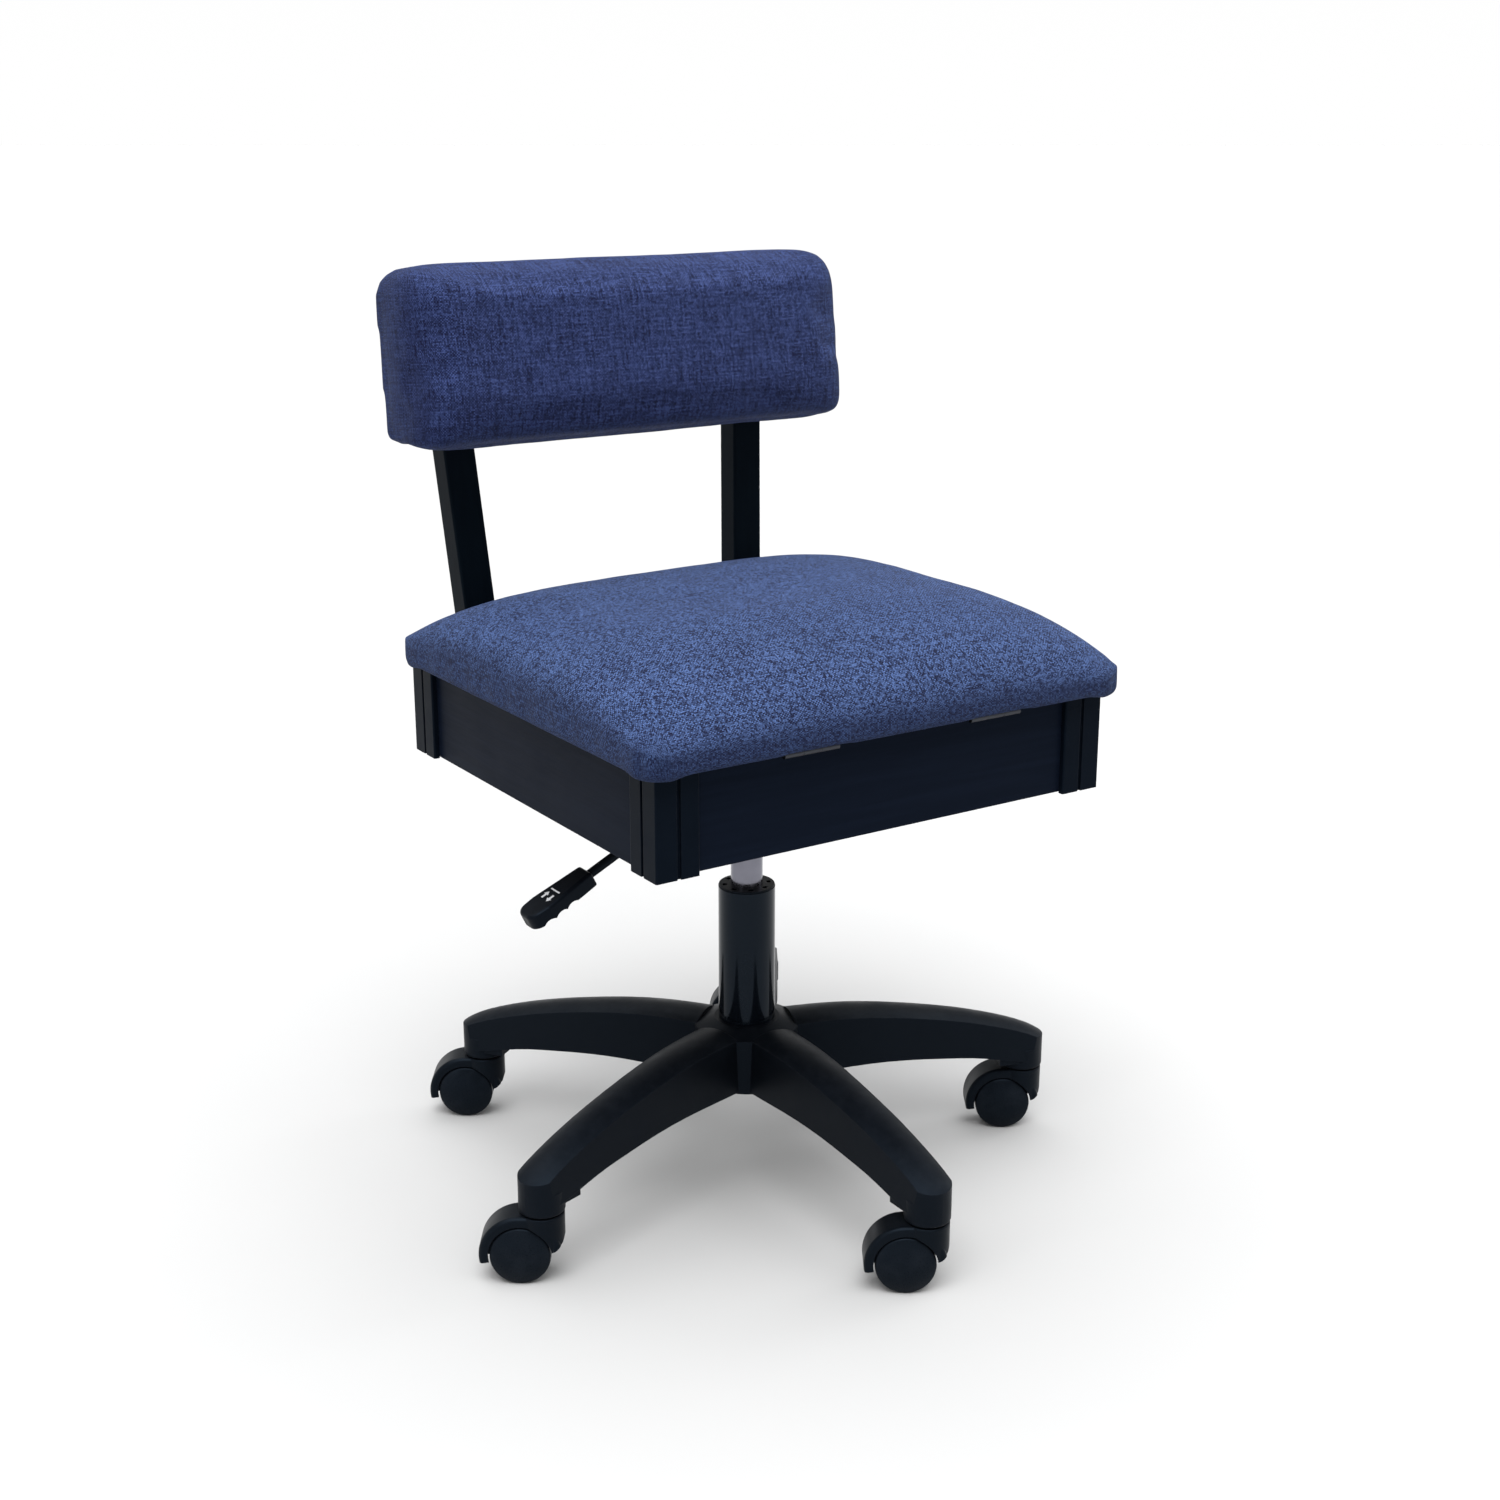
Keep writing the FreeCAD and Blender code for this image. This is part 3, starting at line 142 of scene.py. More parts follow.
class Shader:
    """A node material with short calls for the nodes this file needs."""

    def __init__(self, name):
        self.material = bpy.data.materials.new(name)
        self.material.use_nodes = True
        self.tree = self.material.node_tree
        self.bsdf = self.tree.nodes["Principled BSDF"]
        self.coords = self.tree.nodes.new("ShaderNodeTexCoord").outputs["Object"]

    def node(self, kind, inputs=(), **settings):
        made = self.tree.nodes.new("ShaderNode" + kind)
        for key, value in settings.items():
            setattr(made, key, value)
        for key, value in dict(inputs).items():
            self.put(made.inputs[key], value)
        return made

    def put(self, socket, value):
        if isinstance(value, bpy.types.NodeSocket):
            self.tree.links.new(value, socket)
        else:
            socket.default_value = value

    def set(self, **values):
        """Shader inputs, by name with underscores for spaces."""
        for key, value in values.items():
            self.put(self.bsdf.inputs[key.replace("_", " ")], value)

    def math(self, operation, a, b=0.0, clamp=False):
        made = self.node("Math", operation=operation, use_clamp=clamp)
        self.put(made.inputs[0], a)
        self.put(made.inputs[1], b)
        return made.outputs[0]

    def noise(self, scale, detail=3.0, roughness=0.5, vector=None, distortion=0.0):
        made = self.node("TexNoise", {"Scale": scale, "Detail": detail, "Roughness": roughness,
                                      "Distortion": distortion})
        self.put(made.inputs["Vector"], vector or self.coords)
        return made.outputs["Fac"]

    def stretched(self, scale, vector=None):
        """Coordinates scaled by three factors, for streaks and grain."""
        made = self.node("Mapping", {"Scale": scale})
        self.put(made.inputs["Vector"], vector or self.coords)
        return made.outputs["Vector"]

    def remap(self, value, low, high, to_low, to_high):
        ends = {"From Min": low, "From Max": high, "To Min": to_low, "To Max": to_high}
        made = self.node("MapRange", ends)
        self.put(made.inputs["Value"], value)
        return made.outputs["Result"]

    def spread(self, noise, to_low, to_high):
        """A noise's middle range, spread over two values."""
        return self.remap(noise, *NOISE_MIDDLE, to_low, to_high)

    def mix(self, factor, a, b, blend="MIX"):
        made = self.node("Mix", data_type="RGBA", blend_type=blend)
        self.put(made.inputs[MIX_FACTOR], factor)
        self.put(made.inputs[MIX_COLOUR_A], a)
        self.put(made.inputs[MIX_COLOUR_B], b)
        return made.outputs[MIX_COLOUR_OUT]

    def bump(self, height, strength, distance, normal=None):
        made = self.node("Bump", {"Strength": strength, "Distance": distance})
        self.put(made.inputs["Height"], height)
        if normal is not None:
            self.put(made.inputs["Normal"], normal)
        return made.outputs["Normal"]

    def soft_edges(self, radius):
        """Normals that round off sharp CAD edges."""
        return self.node("Bevel", {"Radius": radius}, samples=4).outputs["Normal"]

    def edge_mask(self, radius):
        """1 along sharp edges and 0 elsewhere, for wear."""
        bevelled = self.soft_edges(radius)
        flat = self.node("NewGeometry").outputs["Normal"]
        likeness = self.node("VectorMath", operation="DOT_PRODUCT")
        self.put(likeness.inputs[0], bevelled)
        self.put(likeness.inputs[1], flat)
        return self.remap(likeness.outputs["Value"], 0.999, 0.86, 0.0, 1.0)


def rgb(red, green, blue):
    return (red, green, blue, 1.0)


def shade(tone, factor):
    """A colour made darker or lighter by a factor."""
    return rgb(*(factor * c for c in tone))


def moulded_plastic(
    name, tone, gloss, grain=1900.0, grain_depth=0.00006, dust=0.35, shine=BLACK_SHINE
):
    """Black moulded plastic: fine spark-eroded grain, uneven sheen, dust on what faces up."""
    m = Shader(name)
    fine = m.noise(grain, 2.0, 0.6)
    broad = m.noise(28.0, 4.0, 0.55)
    facing = m.node("SeparateXYZ", {"Vector": m.node("NewGeometry").outputs["Normal"]}).outputs["Z"]
    lying = m.remap(facing, 0.2, 1.0, 0.0, dust)
    patchy = m.math("MULTIPLY", lying, m.remap(m.noise(95.0, 5.0, 0.7), 0.42, 0.72, 0.0, 1.0))
    dark = m.mix(broad, shade(tone, 0.75), shade(tone, 1.3))
    worn = m.math("MULTIPLY", m.edge_mask(0.0012), m.remap(m.noise(160.0), 0.4, 0.7, 0.1, 0.6))
    scuffed = m.mix(worn, dark, rgb(0.016, 0.019, 0.025))
    m.set(Base_Color=m.mix(patchy, scuffed, rgb(0.011, 0.013, 0.017)))
    m.set(Roughness=m.spread(broad, gloss - 0.06, gloss + 0.09))
    m.set(Specular_IOR_Level=shine, Specular_Tint=BLACK_TINT)
    m.set(Normal=m.bump(fine, 0.5, grain_depth, m.soft_edges(0.0008)))
    return m.material


def glossy_wheel():
    """Polished black wheel plastic with a fine haze of scratches and dust."""
    m = Shader("caster_wheel_black")
    scratch = m.noise(900.0, 4.0, 0.7)
    broad = m.noise(60.0, 3.0, 0.6)
    dusty = m.remap(broad, 0.45, 0.75, 0.0, 0.5)
    m.set(Base_Color=m.mix(dusty, rgb(0.0040, 0.0055, 0.0080), rgb(0.010, 0.012, 0.016)))
    m.set(Roughness=m.remap(scratch, 0.35, 0.7, 0.24, 0.42))
    m.set(Specular_IOR_Level=BLACK_SHINE, Specular_Tint=BLACK_TINT)
    m.set(Normal=m.bump(scratch, 0.25, 0.00002, m.soft_edges(0.0006)))
    return m.material


def enamel():
    """Glossy black enamel on the column tube, with orange peel and a thin clear coat."""
    m = Shader("column_black_enamel")
    peel = m.noise(420.0, 1.5, 0.4)
    broad = m.noise(34.0, 3.0, 0.6)
    m.set(Base_Color=m.mix(broad, rgb(0.0016, 0.0024, 0.0040), rgb(0.0032, 0.0045, 0.0070)))
    m.set(Roughness=m.spread(broad, 0.10, 0.16), Coat_Weight=0.05, Coat_Roughness=0.05)
    m.set(Specular_IOR_Level=0.16, Specular_Tint=BLACK_TINT)
    m.set(Normal=m.bump(peel, 0.10, 0.00003, m.soft_edges(0.0006)))
    return m.material


def polished_steel(name, tone, gloss, streak):
    """Bright steel with fine drawn lines along Z and a faint film of grease."""
    m = Shader(name)
    lines = m.noise(1.0, 2.0, 0.5, m.stretched(streak))
    film = m.noise(52.0, 4.0, 0.6)
    greasy = m.remap(film, 0.45, 0.7, 0.0, 0.35)
    m.set(Base_Color=m.mix(greasy, rgb(*tone), shade(tone, 0.62)))
    m.set(Metallic=1.0, Roughness=m.spread(lines, gloss - 0.05, gloss + 0.08))
    m.set(Normal=m.bump(lines, 0.12, 0.00003, m.soft_edges(0.0005)))
    return m.material


def powder_coat():
    """Satin black powder coat with its pebbled skin."""
    m = Shader("black_powder_coat")
    pebble = m.noise(950.0, 2.0, 0.55)
    broad = m.noise(40.0, 3.0, 0.6)
    worn = m.math("MULTIPLY", m.edge_mask(0.0010), m.remap(m.noise(210.0), 0.45, 0.7, 0.0, 0.4))
    dark = m.mix(broad, rgb(0.0030, 0.0036, 0.0050), rgb(0.0060, 0.0070, 0.0090))
    m.set(Base_Color=m.mix(worn, dark, rgb(0.030, 0.032, 0.036)))
    m.set(Roughness=m.spread(broad, 0.38, 0.52))
    m.set(Specular_IOR_Level=BLACK_SHINE, Specular_Tint=BLACK_TINT)
    m.set(Normal=m.bump(pebble, 0.45, 0.00009, m.soft_edges(0.0008)))
    return m.material


def laminate(name, tone, grain_scale, wear=0.35):
    """Black-stained board: open grain under satin lacquer, lighter along rubbed edges."""
    m = Shader(name)
    warped = m.noise(1.0, 4.0, 0.62, m.stretched(grain_scale), 0.6)
    pores = m.noise(1.0, 2.0, 0.7, m.stretched(tuple(4.5 * s for s in grain_scale)))
    broad = m.noise(14.0, 3.0, 0.5)
    grain = m.remap(warped, 0.42, 0.66, 0.0, 1.0)
    dark = m.mix(grain, shade(tone, 0.90), shade(tone, 1.10))
    worn = m.math("MULTIPLY", m.edge_mask(0.0014), m.remap(m.noise(120.0), 0.35, 0.7, 0.15, wear))
    m.set(Base_Color=m.mix(worn, dark, rgb(0.020, 0.022, 0.028)))
    rough_pores = m.remap(pores, 0.4, 0.7, 0.0, 0.07)
    m.set(Roughness=m.math("ADD", m.spread(broad, 0.30, 0.40), rough_pores))
    m.set(Specular_IOR_Level=0.25 * BLACK_SHINE, Specular_Tint=BLACK_TINT)
    m.set(Normal=m.bump(pores, 0.22, 0.00006, m.soft_edges(0.0009)))
    return m.material


def plywood():
    """Pale plywood with growth rings and fine fibres."""
    m = Shader("birch_plywood")
    rings = m.noise(1.0, 3.0, 0.5, m.stretched((9.0, 60.0, 300.0)), 1.4)
    fibre = m.noise(1.0, 3.0, 0.7, m.stretched((60.0, 1500.0, 1500.0)))
    wood = m.mix(m.remap(rings, 0.35, 0.65, 0.0, 1.0), rgb(0.50, 0.35, 0.20), rgb(0.62, 0.47, 0.30))
    m.set(Base_Color=m.mix(m.remap(fibre, 0.45, 0.7, 0.0, 0.5), wood, rgb(0.40, 0.27, 0.15)))
    m.set(Roughness=m.spread(fibre, 0.6, 0.8), Normal=m.bump(fibre, 0.3, 0.00012))
    return m.material


def black_cloth(name):
    """Thin spun-bonded dust cover, with its grid of welded dimples."""
    m = Shader(name)
    fibres = m.noise(1400.0, 3.0, 0.75)
    cells = m.node("TexVoronoi", {"Scale": 620.0, "Randomness": 0.15, "Vector": m.coords})
    dimple = m.remap(cells.outputs["Distance"], 0.05, 0.35, 0.0, 1.0)
    m.set(Base_Color=m.mix(fibres, rgb(0.0040, 0.0044, 0.0060), rgb(0.016, 0.017, 0.020)))
    m.set(Specular_IOR_Level=BLACK_SHINE)
    m.set(Roughness=m.remap(dimple, 0.0, 1.0, 0.65, 0.9))
    m.set(Normal=m.bump(m.math("ADD", dimple, fibres), 0.5, 0.00022))
    return m.material


def woven_fabric(name, deep, light, pitch, slub, speckle):
    """Plain-woven melange: over-and-under threads, slubs along each thread, random flecks.

    The 'weave' attribute holds the cloth's own flat coordinates in metres. The other point
    attribute
    is painted light: 1 where the cloth faces up and 0 down the sides, which it darkens as painted
    shade.
    """
    m = Shader(name)
    cloth = m.node("Attribute", attribute_name="weave").outputs["Vector"]
    wander = m.node("VectorMath", operation="SCALE")
    drift = m.node("TexNoise", {"Scale": 75.0, "Detail": 2.0, "Vector": cloth}).outputs["Color"]
    m.put(wander.inputs[0], drift)
    wander.inputs["Scale"].default_value = pitch * 0.5
    bent = m.node("VectorMath", operation="ADD")
    m.put(bent.inputs[0], cloth)
    m.put(bent.inputs[1], wander.outputs[0])
    axes = m.node("SeparateXYZ", {"Vector": bent.outputs[0]})
    across = m.math("DIVIDE", axes.outputs["X"], pitch)
    along = m.math("DIVIDE", axes.outputs["Y"], pitch)
    wave_a = m.math("SINE", m.math("MULTIPLY", across, math.pi))
    wave_b = m.math("SINE", m.math("MULTIPLY", along, math.pi))
    product = m.math("MULTIPLY", wave_a, wave_b)
    pillow = m.math("POWER", m.math("ABSOLUTE", product), 0.55)
    warp_on_top = m.math("GREATER_THAN", product, 0.0)

    crossing = {"X": m.math("FLOOR", across), "Y": m.math("FLOOR", along)}
    cell = m.node("CombineXYZ", crossing).outputs[0]
    fleck = m.node("TexWhiteNoise", {"Vector": cell}, noise_dimensions="2D").outputs["Value"]
    across_thread, along_warp, along_weft = 0.60 / pitch, 0.034 / pitch, 0.028 / pitch
    warp = m.noise(1.0, 3.0, 0.75, m.stretched((across_thread, along_warp, 1.0), cloth))
    weft = m.noise(1.0, 3.0, 0.75, m.stretched((along_weft, across_thread, 1.0), cloth))
    thread = m.node("Mix", data_type="FLOAT")
    m.put(thread.inputs[MIX_FACTOR], warp_on_top)
    m.put(thread.inputs[MIX_FLOAT_A], weft)
    m.put(thread.inputs[MIX_FLOAT_B], warp)
    broad = m.noise(16.0, 4.0, 0.6, cloth)

    middle, reach = 0.5, 0.20
    ends = middle - reach, middle + reach, middle - slub, middle + slub
    tone = m.remap(thread.outputs[0], *ends)
    tone = m.math("ADD", tone, m.remap(fleck, 0.0, 1.0, -speckle, speckle))
    tone = m.math("ADD", tone, m.remap(warp_on_top, 0.0, 1.0, -CROSSING_TONE, CROSSING_TONE))
    tone = m.math("ADD", tone, m.spread(broad, -0.06, 0.06), clamp=True)
    tone = m.math("POWER", tone, 1.35)
    # Painted shade: the tone is darkened down the sides and undersides of the cloth.
    painted_light = m.node("Attribute", attribute_name="painted_light").outputs["Fac"]
    tone = m.math("MULTIPLY", tone, m.remap(painted_light, 0.0, 1.0, PAINTED_SIDE_SHADE, 1.0))
    colour = m.mix(tone, rgb(*deep), rgb(*light))
    # Painted shade: the colour is darkened in the hollows between the raised threads.
    shaded = m.mix(m.remap(pillow, 0.0, 0.75, 0.62, 0.0), colour, shade(deep, 0.28))
    m.set(Base_Color=shaded, Roughness=m.remap(fleck, 0.0, 1.0, 0.72, 0.92))
    m.set(Sheen_Weight=0.06, Sheen_Roughness=0.45, Sheen_Tint=rgb(0.45, 0.60, 0.95))
    m.set(Specular_IOR_Level=0.12)
    fuzz = m.noise(5200.0, 2.0, 0.6)
    height = m.math("ADD", pillow, m.math("MULTIPLY", fuzz, 0.35))
    m.set(Normal=m.bump(height, 0.75, 0.00045))
    return m.material


def pad_print():
    """Pale grey pad-printed ink."""
    m = Shader("pale_print")
    speck = m.noise(900.0, 2.0, 0.6)
    m.set(Base_Color=m.mix(speck, rgb(0.42, 0.43, 0.45), rgb(0.62, 0.63, 0.65)), Roughness=0.55)
    return m.material


def studio_floor():
    """Plain near-white sweep with the slightest unevenness."""
    m = Shader("pale_floor")
    tone = m.noise(3.0, 2.0, 0.5)
    m.set(Base_Color=m.mix(tone, rgb(0.505, 0.508, 0.510), rgb(0.520, 0.520, 0.520)), Roughness=0.8)
    m.set(Specular_IOR_Level=0.1)
    return m.material


NYLON = moulded_plastic("black_nylon", (0.0032, 0.0042, 0.0062), 0.42)
HOOD = moulded_plastic("caster_hood_black", (0.0030, 0.0040, 0.0058), 0.34, 2600.0, 0.00004, 0.22)
BUSH = moulded_plastic("bush_black", (0.0036, 0.0044, 0.0060), 0.38, 2600.0, 0.00003, 0.1)
PADDLE = moulded_plastic("paddle_black", (0.0026, 0.0032, 0.0048), 0.36, 2100.0, 0.00005, 0.12)
MOULDING = moulded_plastic(
    "moulding_black", (0.0024, 0.0042, 0.0078), 0.33, 3200.0, 0.00002, 0.1, shine=0.03
)
WHEEL = glossy_wheel()
ENAMEL = enamel()
# The cylinder's steel is toned down to dark grey: painted shade, standing for the shade under the
# seat.
CHROME_PAINTED_SHADE = polished_steel("polished_cylinder_painted_shade", (0.19, 0.19, 0.225), 0.18, (900.0, 900.0, 14.0))
ZINC = polished_steel("zinc_plate", (0.52, 0.53, 0.55), 0.32, (700.0, 700.0, 700.0))
WIRE = polished_steel("staple_wire", (0.22, 0.22, 0.23), 0.35, (500.0, 500.0, 500.0))
NICKEL = polished_steel("nickel_hinge", (0.050, 0.053, 0.062), 0.38, (60.0, 1200.0, 1200.0))
POWDER = powder_coat()
PANEL = laminate("black_panel", (0.0042, 0.0066, 0.0135), (6.0, 6.0, 140.0), 0.25)
POST = laminate("black_post", (0.0022, 0.0042, 0.0068), (150.0, 150.0, 7.0), 0.3)
PLYWOOD = plywood()
DUST_COVER = black_cloth("black_dust_cover")
SEAT_FABRIC = woven_fabric(
    "seat_weave", (0.0022, 0.0038, 0.026), (0.082, 0.140, 0.330),
    pitch=0.00138, slub=0.30, speckle=0.50,
)
BACK_FABRIC = woven_fabric(
    "back_weave", (0.0016, 0.0026, 0.024), (0.064, 0.100, 0.285),
    pitch=0.00125, slub=0.60, speckle=0.36,
)
PRINT = pad_print()

NODE_MATERIALS = {
    "star_base": NYLON, "caster_stems": ZINC, "grip_rings": ZINC, "column_tube": ENAMEL,
    "guide_bush": BUSH, "thrust_bearing": ZINC, "piston_rod": CHROME_PAINTED_SHADE, "piston": ZINC,
    "rod_clip": ZINC, "gas_cylinder": CHROME_PAINTED_SHADE, "release_pin": ZINC, "taper_socket": POWDER,
    "seat_plate": POWDER, "plate_bolts": ZINC, "plate_nuts": ZINC, "lever_rod": POWDER,
    "lever_paddle": PADDLE, "lever_pin": ZINC, "front_panel": PANEL, "rear_panel": PANEL,
    "left_panel": PANEL, "right_panel": PANEL, "box_bottom": PANEL, "corner_mouldings": MOULDING,
    "hinge_box_leaves": NICKEL, "hinge_lid_leaves": NICKEL, "hinge_pins": NICKEL,
    "hinge_box_screws": ZINC, "hinge_lid_screws": ZINC, "seat_board": PLYWOOD,
    "seat_liner": DUST_COVER, "back_post_left": POST, "back_post_right": POST,
    "post_bolts": POWDER, "post_nuts": ZINC, "back_bolts": POWDER, "back_tee_nuts": ZINC,
    "back_board": DUST_COVER,
}
for number in range(1, 6):
    NODE_MATERIALS[f"caster_hood_{number}"] = HOOD
    NODE_MATERIALS[f"caster_axle_{number}"] = ZINC
    NODE_MATERIALS[f"wheel_left_{number}"] = WHEEL
    NODE_MATERIALS[f"wheel_right_{number}"] = WHEEL


def paint(obj, material):
    obj.data.materials.clear()
    obj.data.materials.append(material)


for name, material in NODE_MATERIALS.items():
    paint(nodes[name], material)


# -------------------------------------------------------------------- mesh tools


def mesh_object(name, points, faces, smooth=True):
    mesh = bpy.data.meshes.new(name)
    mesh.from_pydata([tuple(p) for p in points], [], [tuple(f) for f in faces])
    mesh.update()
    if smooth:
        mesh.shade_smooth()
    obj = bpy.data.objects.new(name, mesh)
    scene.collection.objects.link(obj)
    return obj


def read_points(mesh):
    flat = np.empty(len(mesh.vertices) * 3)
    mesh.vertices.foreach_get("co", flat)
    return flat.reshape(-1, 3)


def write_points(mesh, points):
    mesh.vertices.foreach_set("co", np.asarray(points, float).ravel())
    mesh.update()


def read_normals(mesh):
    flat = np.empty(len(mesh.vertices) * 3)
    mesh.vertex_normals.foreach_get("vector", flat)
    return flat.reshape(-1, 3)


def store_cloth(mesh, weave, painted_light):
    """The two point attributes that the woven material reads."""
    layer = mesh.attributes.new("weave", "FLOAT_VECTOR", "POINT")
    layer.data.foreach_set("vector", np.asarray(weave, float).ravel())
    layer = mesh.attributes.new("painted_light", "FLOAT", "POINT")
    layer.data.foreach_set("value", np.asarray(painted_light, float))


def smoothstep(x, low, high):
    t = np.clip((x - low) / (high - low), 0.0, 1.0)
    return t * t * (3.0 - 2.0 * t)


def waves(points, scale, seed):
    """Smooth repeatable noise of about unit size from a few sine waves."""
    wave_count, typical_sum = 12, 2.6
    source = np.random.default_rng(seed)
    total = np.zeros(len(points))
    for k in range(wave_count):
        finer = 1.0 + k / 4.0
        direction = source.normal(size=3)
        direction /= np.linalg.norm(direction)
        frequency = scale * finer * source.uniform(0.8, 1.2)
        phase = source.uniform(0, 2 * math.pi)
        total += np.sin(points @ direction * frequency + phase) / finer
    return total / typical_sum


def inflate(obj, free, cap):
    """Puff a closed mesh with a short cloth run; free is 0 where a point stays put.

    No point moves further than cap.
    """
    rest = read_points(obj.data)
    group = obj.vertex_groups.new(name="pinned")
    for weight in (0.0, 0.5, 1.0):
        chosen = np.nonzero(np.abs((1.0 - free) - weight) < 0.25)[0]
        group.add([int(i) for i in chosen], weight, "REPLACE")
    cloth = obj.modifiers.new("puff", "CLOTH")
    settings = cloth.settings
    settings.quality = 6
    settings.mass = 0.3
    settings.tension_stiffness = settings.compression_stiffness = 18.0
    settings.shear_stiffness = 8.0
    settings.bending_stiffness = 1.2
    settings.use_pressure = True
    settings.uniform_pressure_force = CLOTH_PRESSURE
    settings.vertex_group_mass = "pinned"
    settings.effector_weights.gravity = 0.0
    cloth.collision_settings.use_collision = False
    cloth.point_cache.frame_start = 1
    cloth.point_cache.frame_end = CLOTH_FRAMES
    for step in range(1, CLOTH_FRAMES + 1):
        scene.frame_set(step)
    evaluated = obj.evaluated_get(bpy.context.evaluated_depsgraph_get())
    settled = read_points(evaluated.to_mesh())
    evaluated.to_mesh_clear()
    obj.modifiers.remove(cloth)
    obj.vertex_groups.remove(group)
    scene.frame_set(1)
    shift = settled - rest
    length = np.linalg.norm(shift, axis=1)
    limited = cap * np.tanh(length / cap)
    shift *= (limited / np.maximum(length, 1e-9) * free)[:, None]
    write_points(obj.data, rest + shift)


def subdivide(obj):
    modifier = obj.modifiers.new("smooth", "SUBSURF")
    modifier.levels = modifier.render_levels = 1


# --------------------------------------------------------------------- seat pad


def spaced(count, power):
    """Steps from 0 to 1 that start wide and close up towards 1."""
    t = np.linspace(0.0, 1.0, count + 1)[1:]
    return 1.0 - (1.0 - t) ** power


def seat_profile():
    """Rings from the top's inner rectangle outwards, down, and under to the board.

    Each ring is (offset from the inner rectangle, height), and a height of None is on the dome.
    """
    rings = [(SEAT_EDGE_WRAP * s, None) for s in spaced(SHOULDER_RINGS, SHOULDER_CROWDING)]
    for inward, drop in SEAT_TUCK:
        rings.append((SEAT_EDGE_WRAP + inward, SEAT_WIDEST_Z + drop))
    return rings


def dome(x, y):
    """Height of the padded top at a place in plan."""
    across = np.clip(np.abs(x) / SEAT_HALF, 0, 1)
    along = np.clip(np.abs(y - SEAT_MIDDLE) / SEAT_REACH, 0, 1)
    rise_x = (1 - across ** SEAT_DOME_X[0]) ** SEAT_DOME_X[1]
    rise_y = (1 - along ** SEAT_DOME_Y[0]) ** SEAT_DOME_Y[1]
    return SEAT_WIDEST_Z + SEAT_SIDE_RISE + SEAT_DOME_HEIGHT * rise_x * rise_y


def outwards(i, j, over_i, over_j):
    """The way a ring leaves the inner rectangle: square off each side, fanned at each corner."""
    if over_i and over_j:
        turn = over_j / over_i if over_j <= over_i else 2.0 - over_i / over_j
        angle = math.pi / 4 * turn
        return math.copysign(math.cos(angle), i), math.copysign(math.sin(angle), j)
    return (
        math.copysign(1.0, i) if over_i else 0.0,
        math.copysign(1.0, j) if over_j else 0.0,
    )


def build_seat_pad():
    """The domed pad: one square of cloth over foam, tucked under the board's edge.

    Returns the object and its cloth coordinates.
    """
    inner_x = SEAT_HALF - SEAT_EDGE_WRAP
    inner_y = SEAT_REACH - SEAT_EDGE_WRAP
    count_x = int(round(2 * inner_x / SEAT_CELL))
    count_y = int(round(2 * inner_y / SEAT_CELL))
    rings = seat_profile()
    depth = len(rings)
    columns = list(range(-depth, count_x + depth + 1))
    rows = list(range(-depth, count_y + depth + 1))
    points, weave, index = [], [], {}
    for i in columns:
        for j in rows:
            over_i = max(-i, i - count_x, 0)
            over_j = max(-j, j - count_y, 0)
            base_x = -inner_x + 2 * inner_x * min(max(i, 0), count_x) / count_x
            base_y = SEAT_MIDDLE - inner_y + 2 * inner_y * min(max(j, 0), count_y) / count_y
            ring = max(over_i, over_j)
            cloth_x = math.copysign(over_i * SEAT_CELL, i) if over_i else 0.0
            cloth_y = math.copysign(over_j * SEAT_CELL, j) if over_j else 0.0
            weave.append((base_x + cloth_x, base_y + cloth_y, 0.0))
            if ring == 0:
                points.append((base_x, base_y, None))
            else:
                way_x, way_y = outwards(i, j, over_i, over_j)
                offset, height = rings[ring - 1]
                points.append((base_x + way_x * offset, base_y + way_y * offset, height))
            index[i, j] = len(points) - 1
    plan = np.array([(p[0], p[1]) for p in points])
    top = dome(plan[:, 0], plan[:, 1])
    heights = np.array([top[k] if p[2] is None else p[2] for k, p in enumerate(points)])
    points = np.column_stack([plan, heights])
    faces = []
    for i in columns[:-1]:
        for j in rows[:-1]:
            faces.append((index[i, j], index[i + 1, j], index[i + 1, j + 1], index[i, j + 1]))

    # The outer loop goes up beside the board and closes above it.
    loop = [index[i, rows[0]] for i in columns[:-1]]
    loop += [index[columns[-1], j] for j in rows[:-1]]
    loop += [index[i, rows[-1]] for i in reversed(columns[1:])]
    loop += [index[columns[0], j] for j in reversed(rows[1:])]
    walls = []
    for height in (LID_Z + 0.0008, BOARD_HIGH.z + BOARD_GAP):
        walls.append(len(points) + np.arange(len(loop)))
        around = points[loop].copy()
        around[:, 0] = np.clip(around[:, 0], BOARD_LOW.x - BOARD_GAP, BOARD_HIGH.x + BOARD_GAP)
        around[:, 1] = np.clip(around[:, 1], BOARD_LOW.y - BOARD_GAP, BOARD_HIGH.y + BOARD_GAP)
        around[:, 2] = height
        points = np.vstack([points, around])
        weave += [weave[k] for k in loop]
    previous = np.array(loop)
    for ring in walls:
        for k in range(len(loop)):
            following = (k + 1) % len(loop)
            faces.append((previous[k], ring[k], ring[following], previous[following]))
        previous = ring
    faces.append(tuple(int(k) for k in previous))
    pad = mesh_object("seat_pad", points, faces)
    return pad, np.array(weave)


def seat_relief(points):
    """Soft unevenness of the foam, and shallow tugs above the hidden staples."""
    bulge = 0.0009 * waves(points, 22.0, 3) + 0.0003 * waves(points, 75.0, 5)
    inside_x = SEAT_HALF - np.abs(points[:, 0])
    inside_y = SEAT_REACH - np.abs(points[:, 1] - SEAT_MIDDLE)
    side = np.clip(1 - np.minimum(inside_x, inside_y) / 0.03, 0, 1)
    along = np.where(np.abs(points[:, 0]) > SEAT_HALF - 0.028, points[:, 1], points[:, 0])
    pull = 0.5 + 0.5 * np.cos(2 * math.pi * along / TUG_SPACING)
    return bulge - STAPLE_TUG * side * pull * (1 - smoothstep(points[:, 2], 0.466, 0.492))


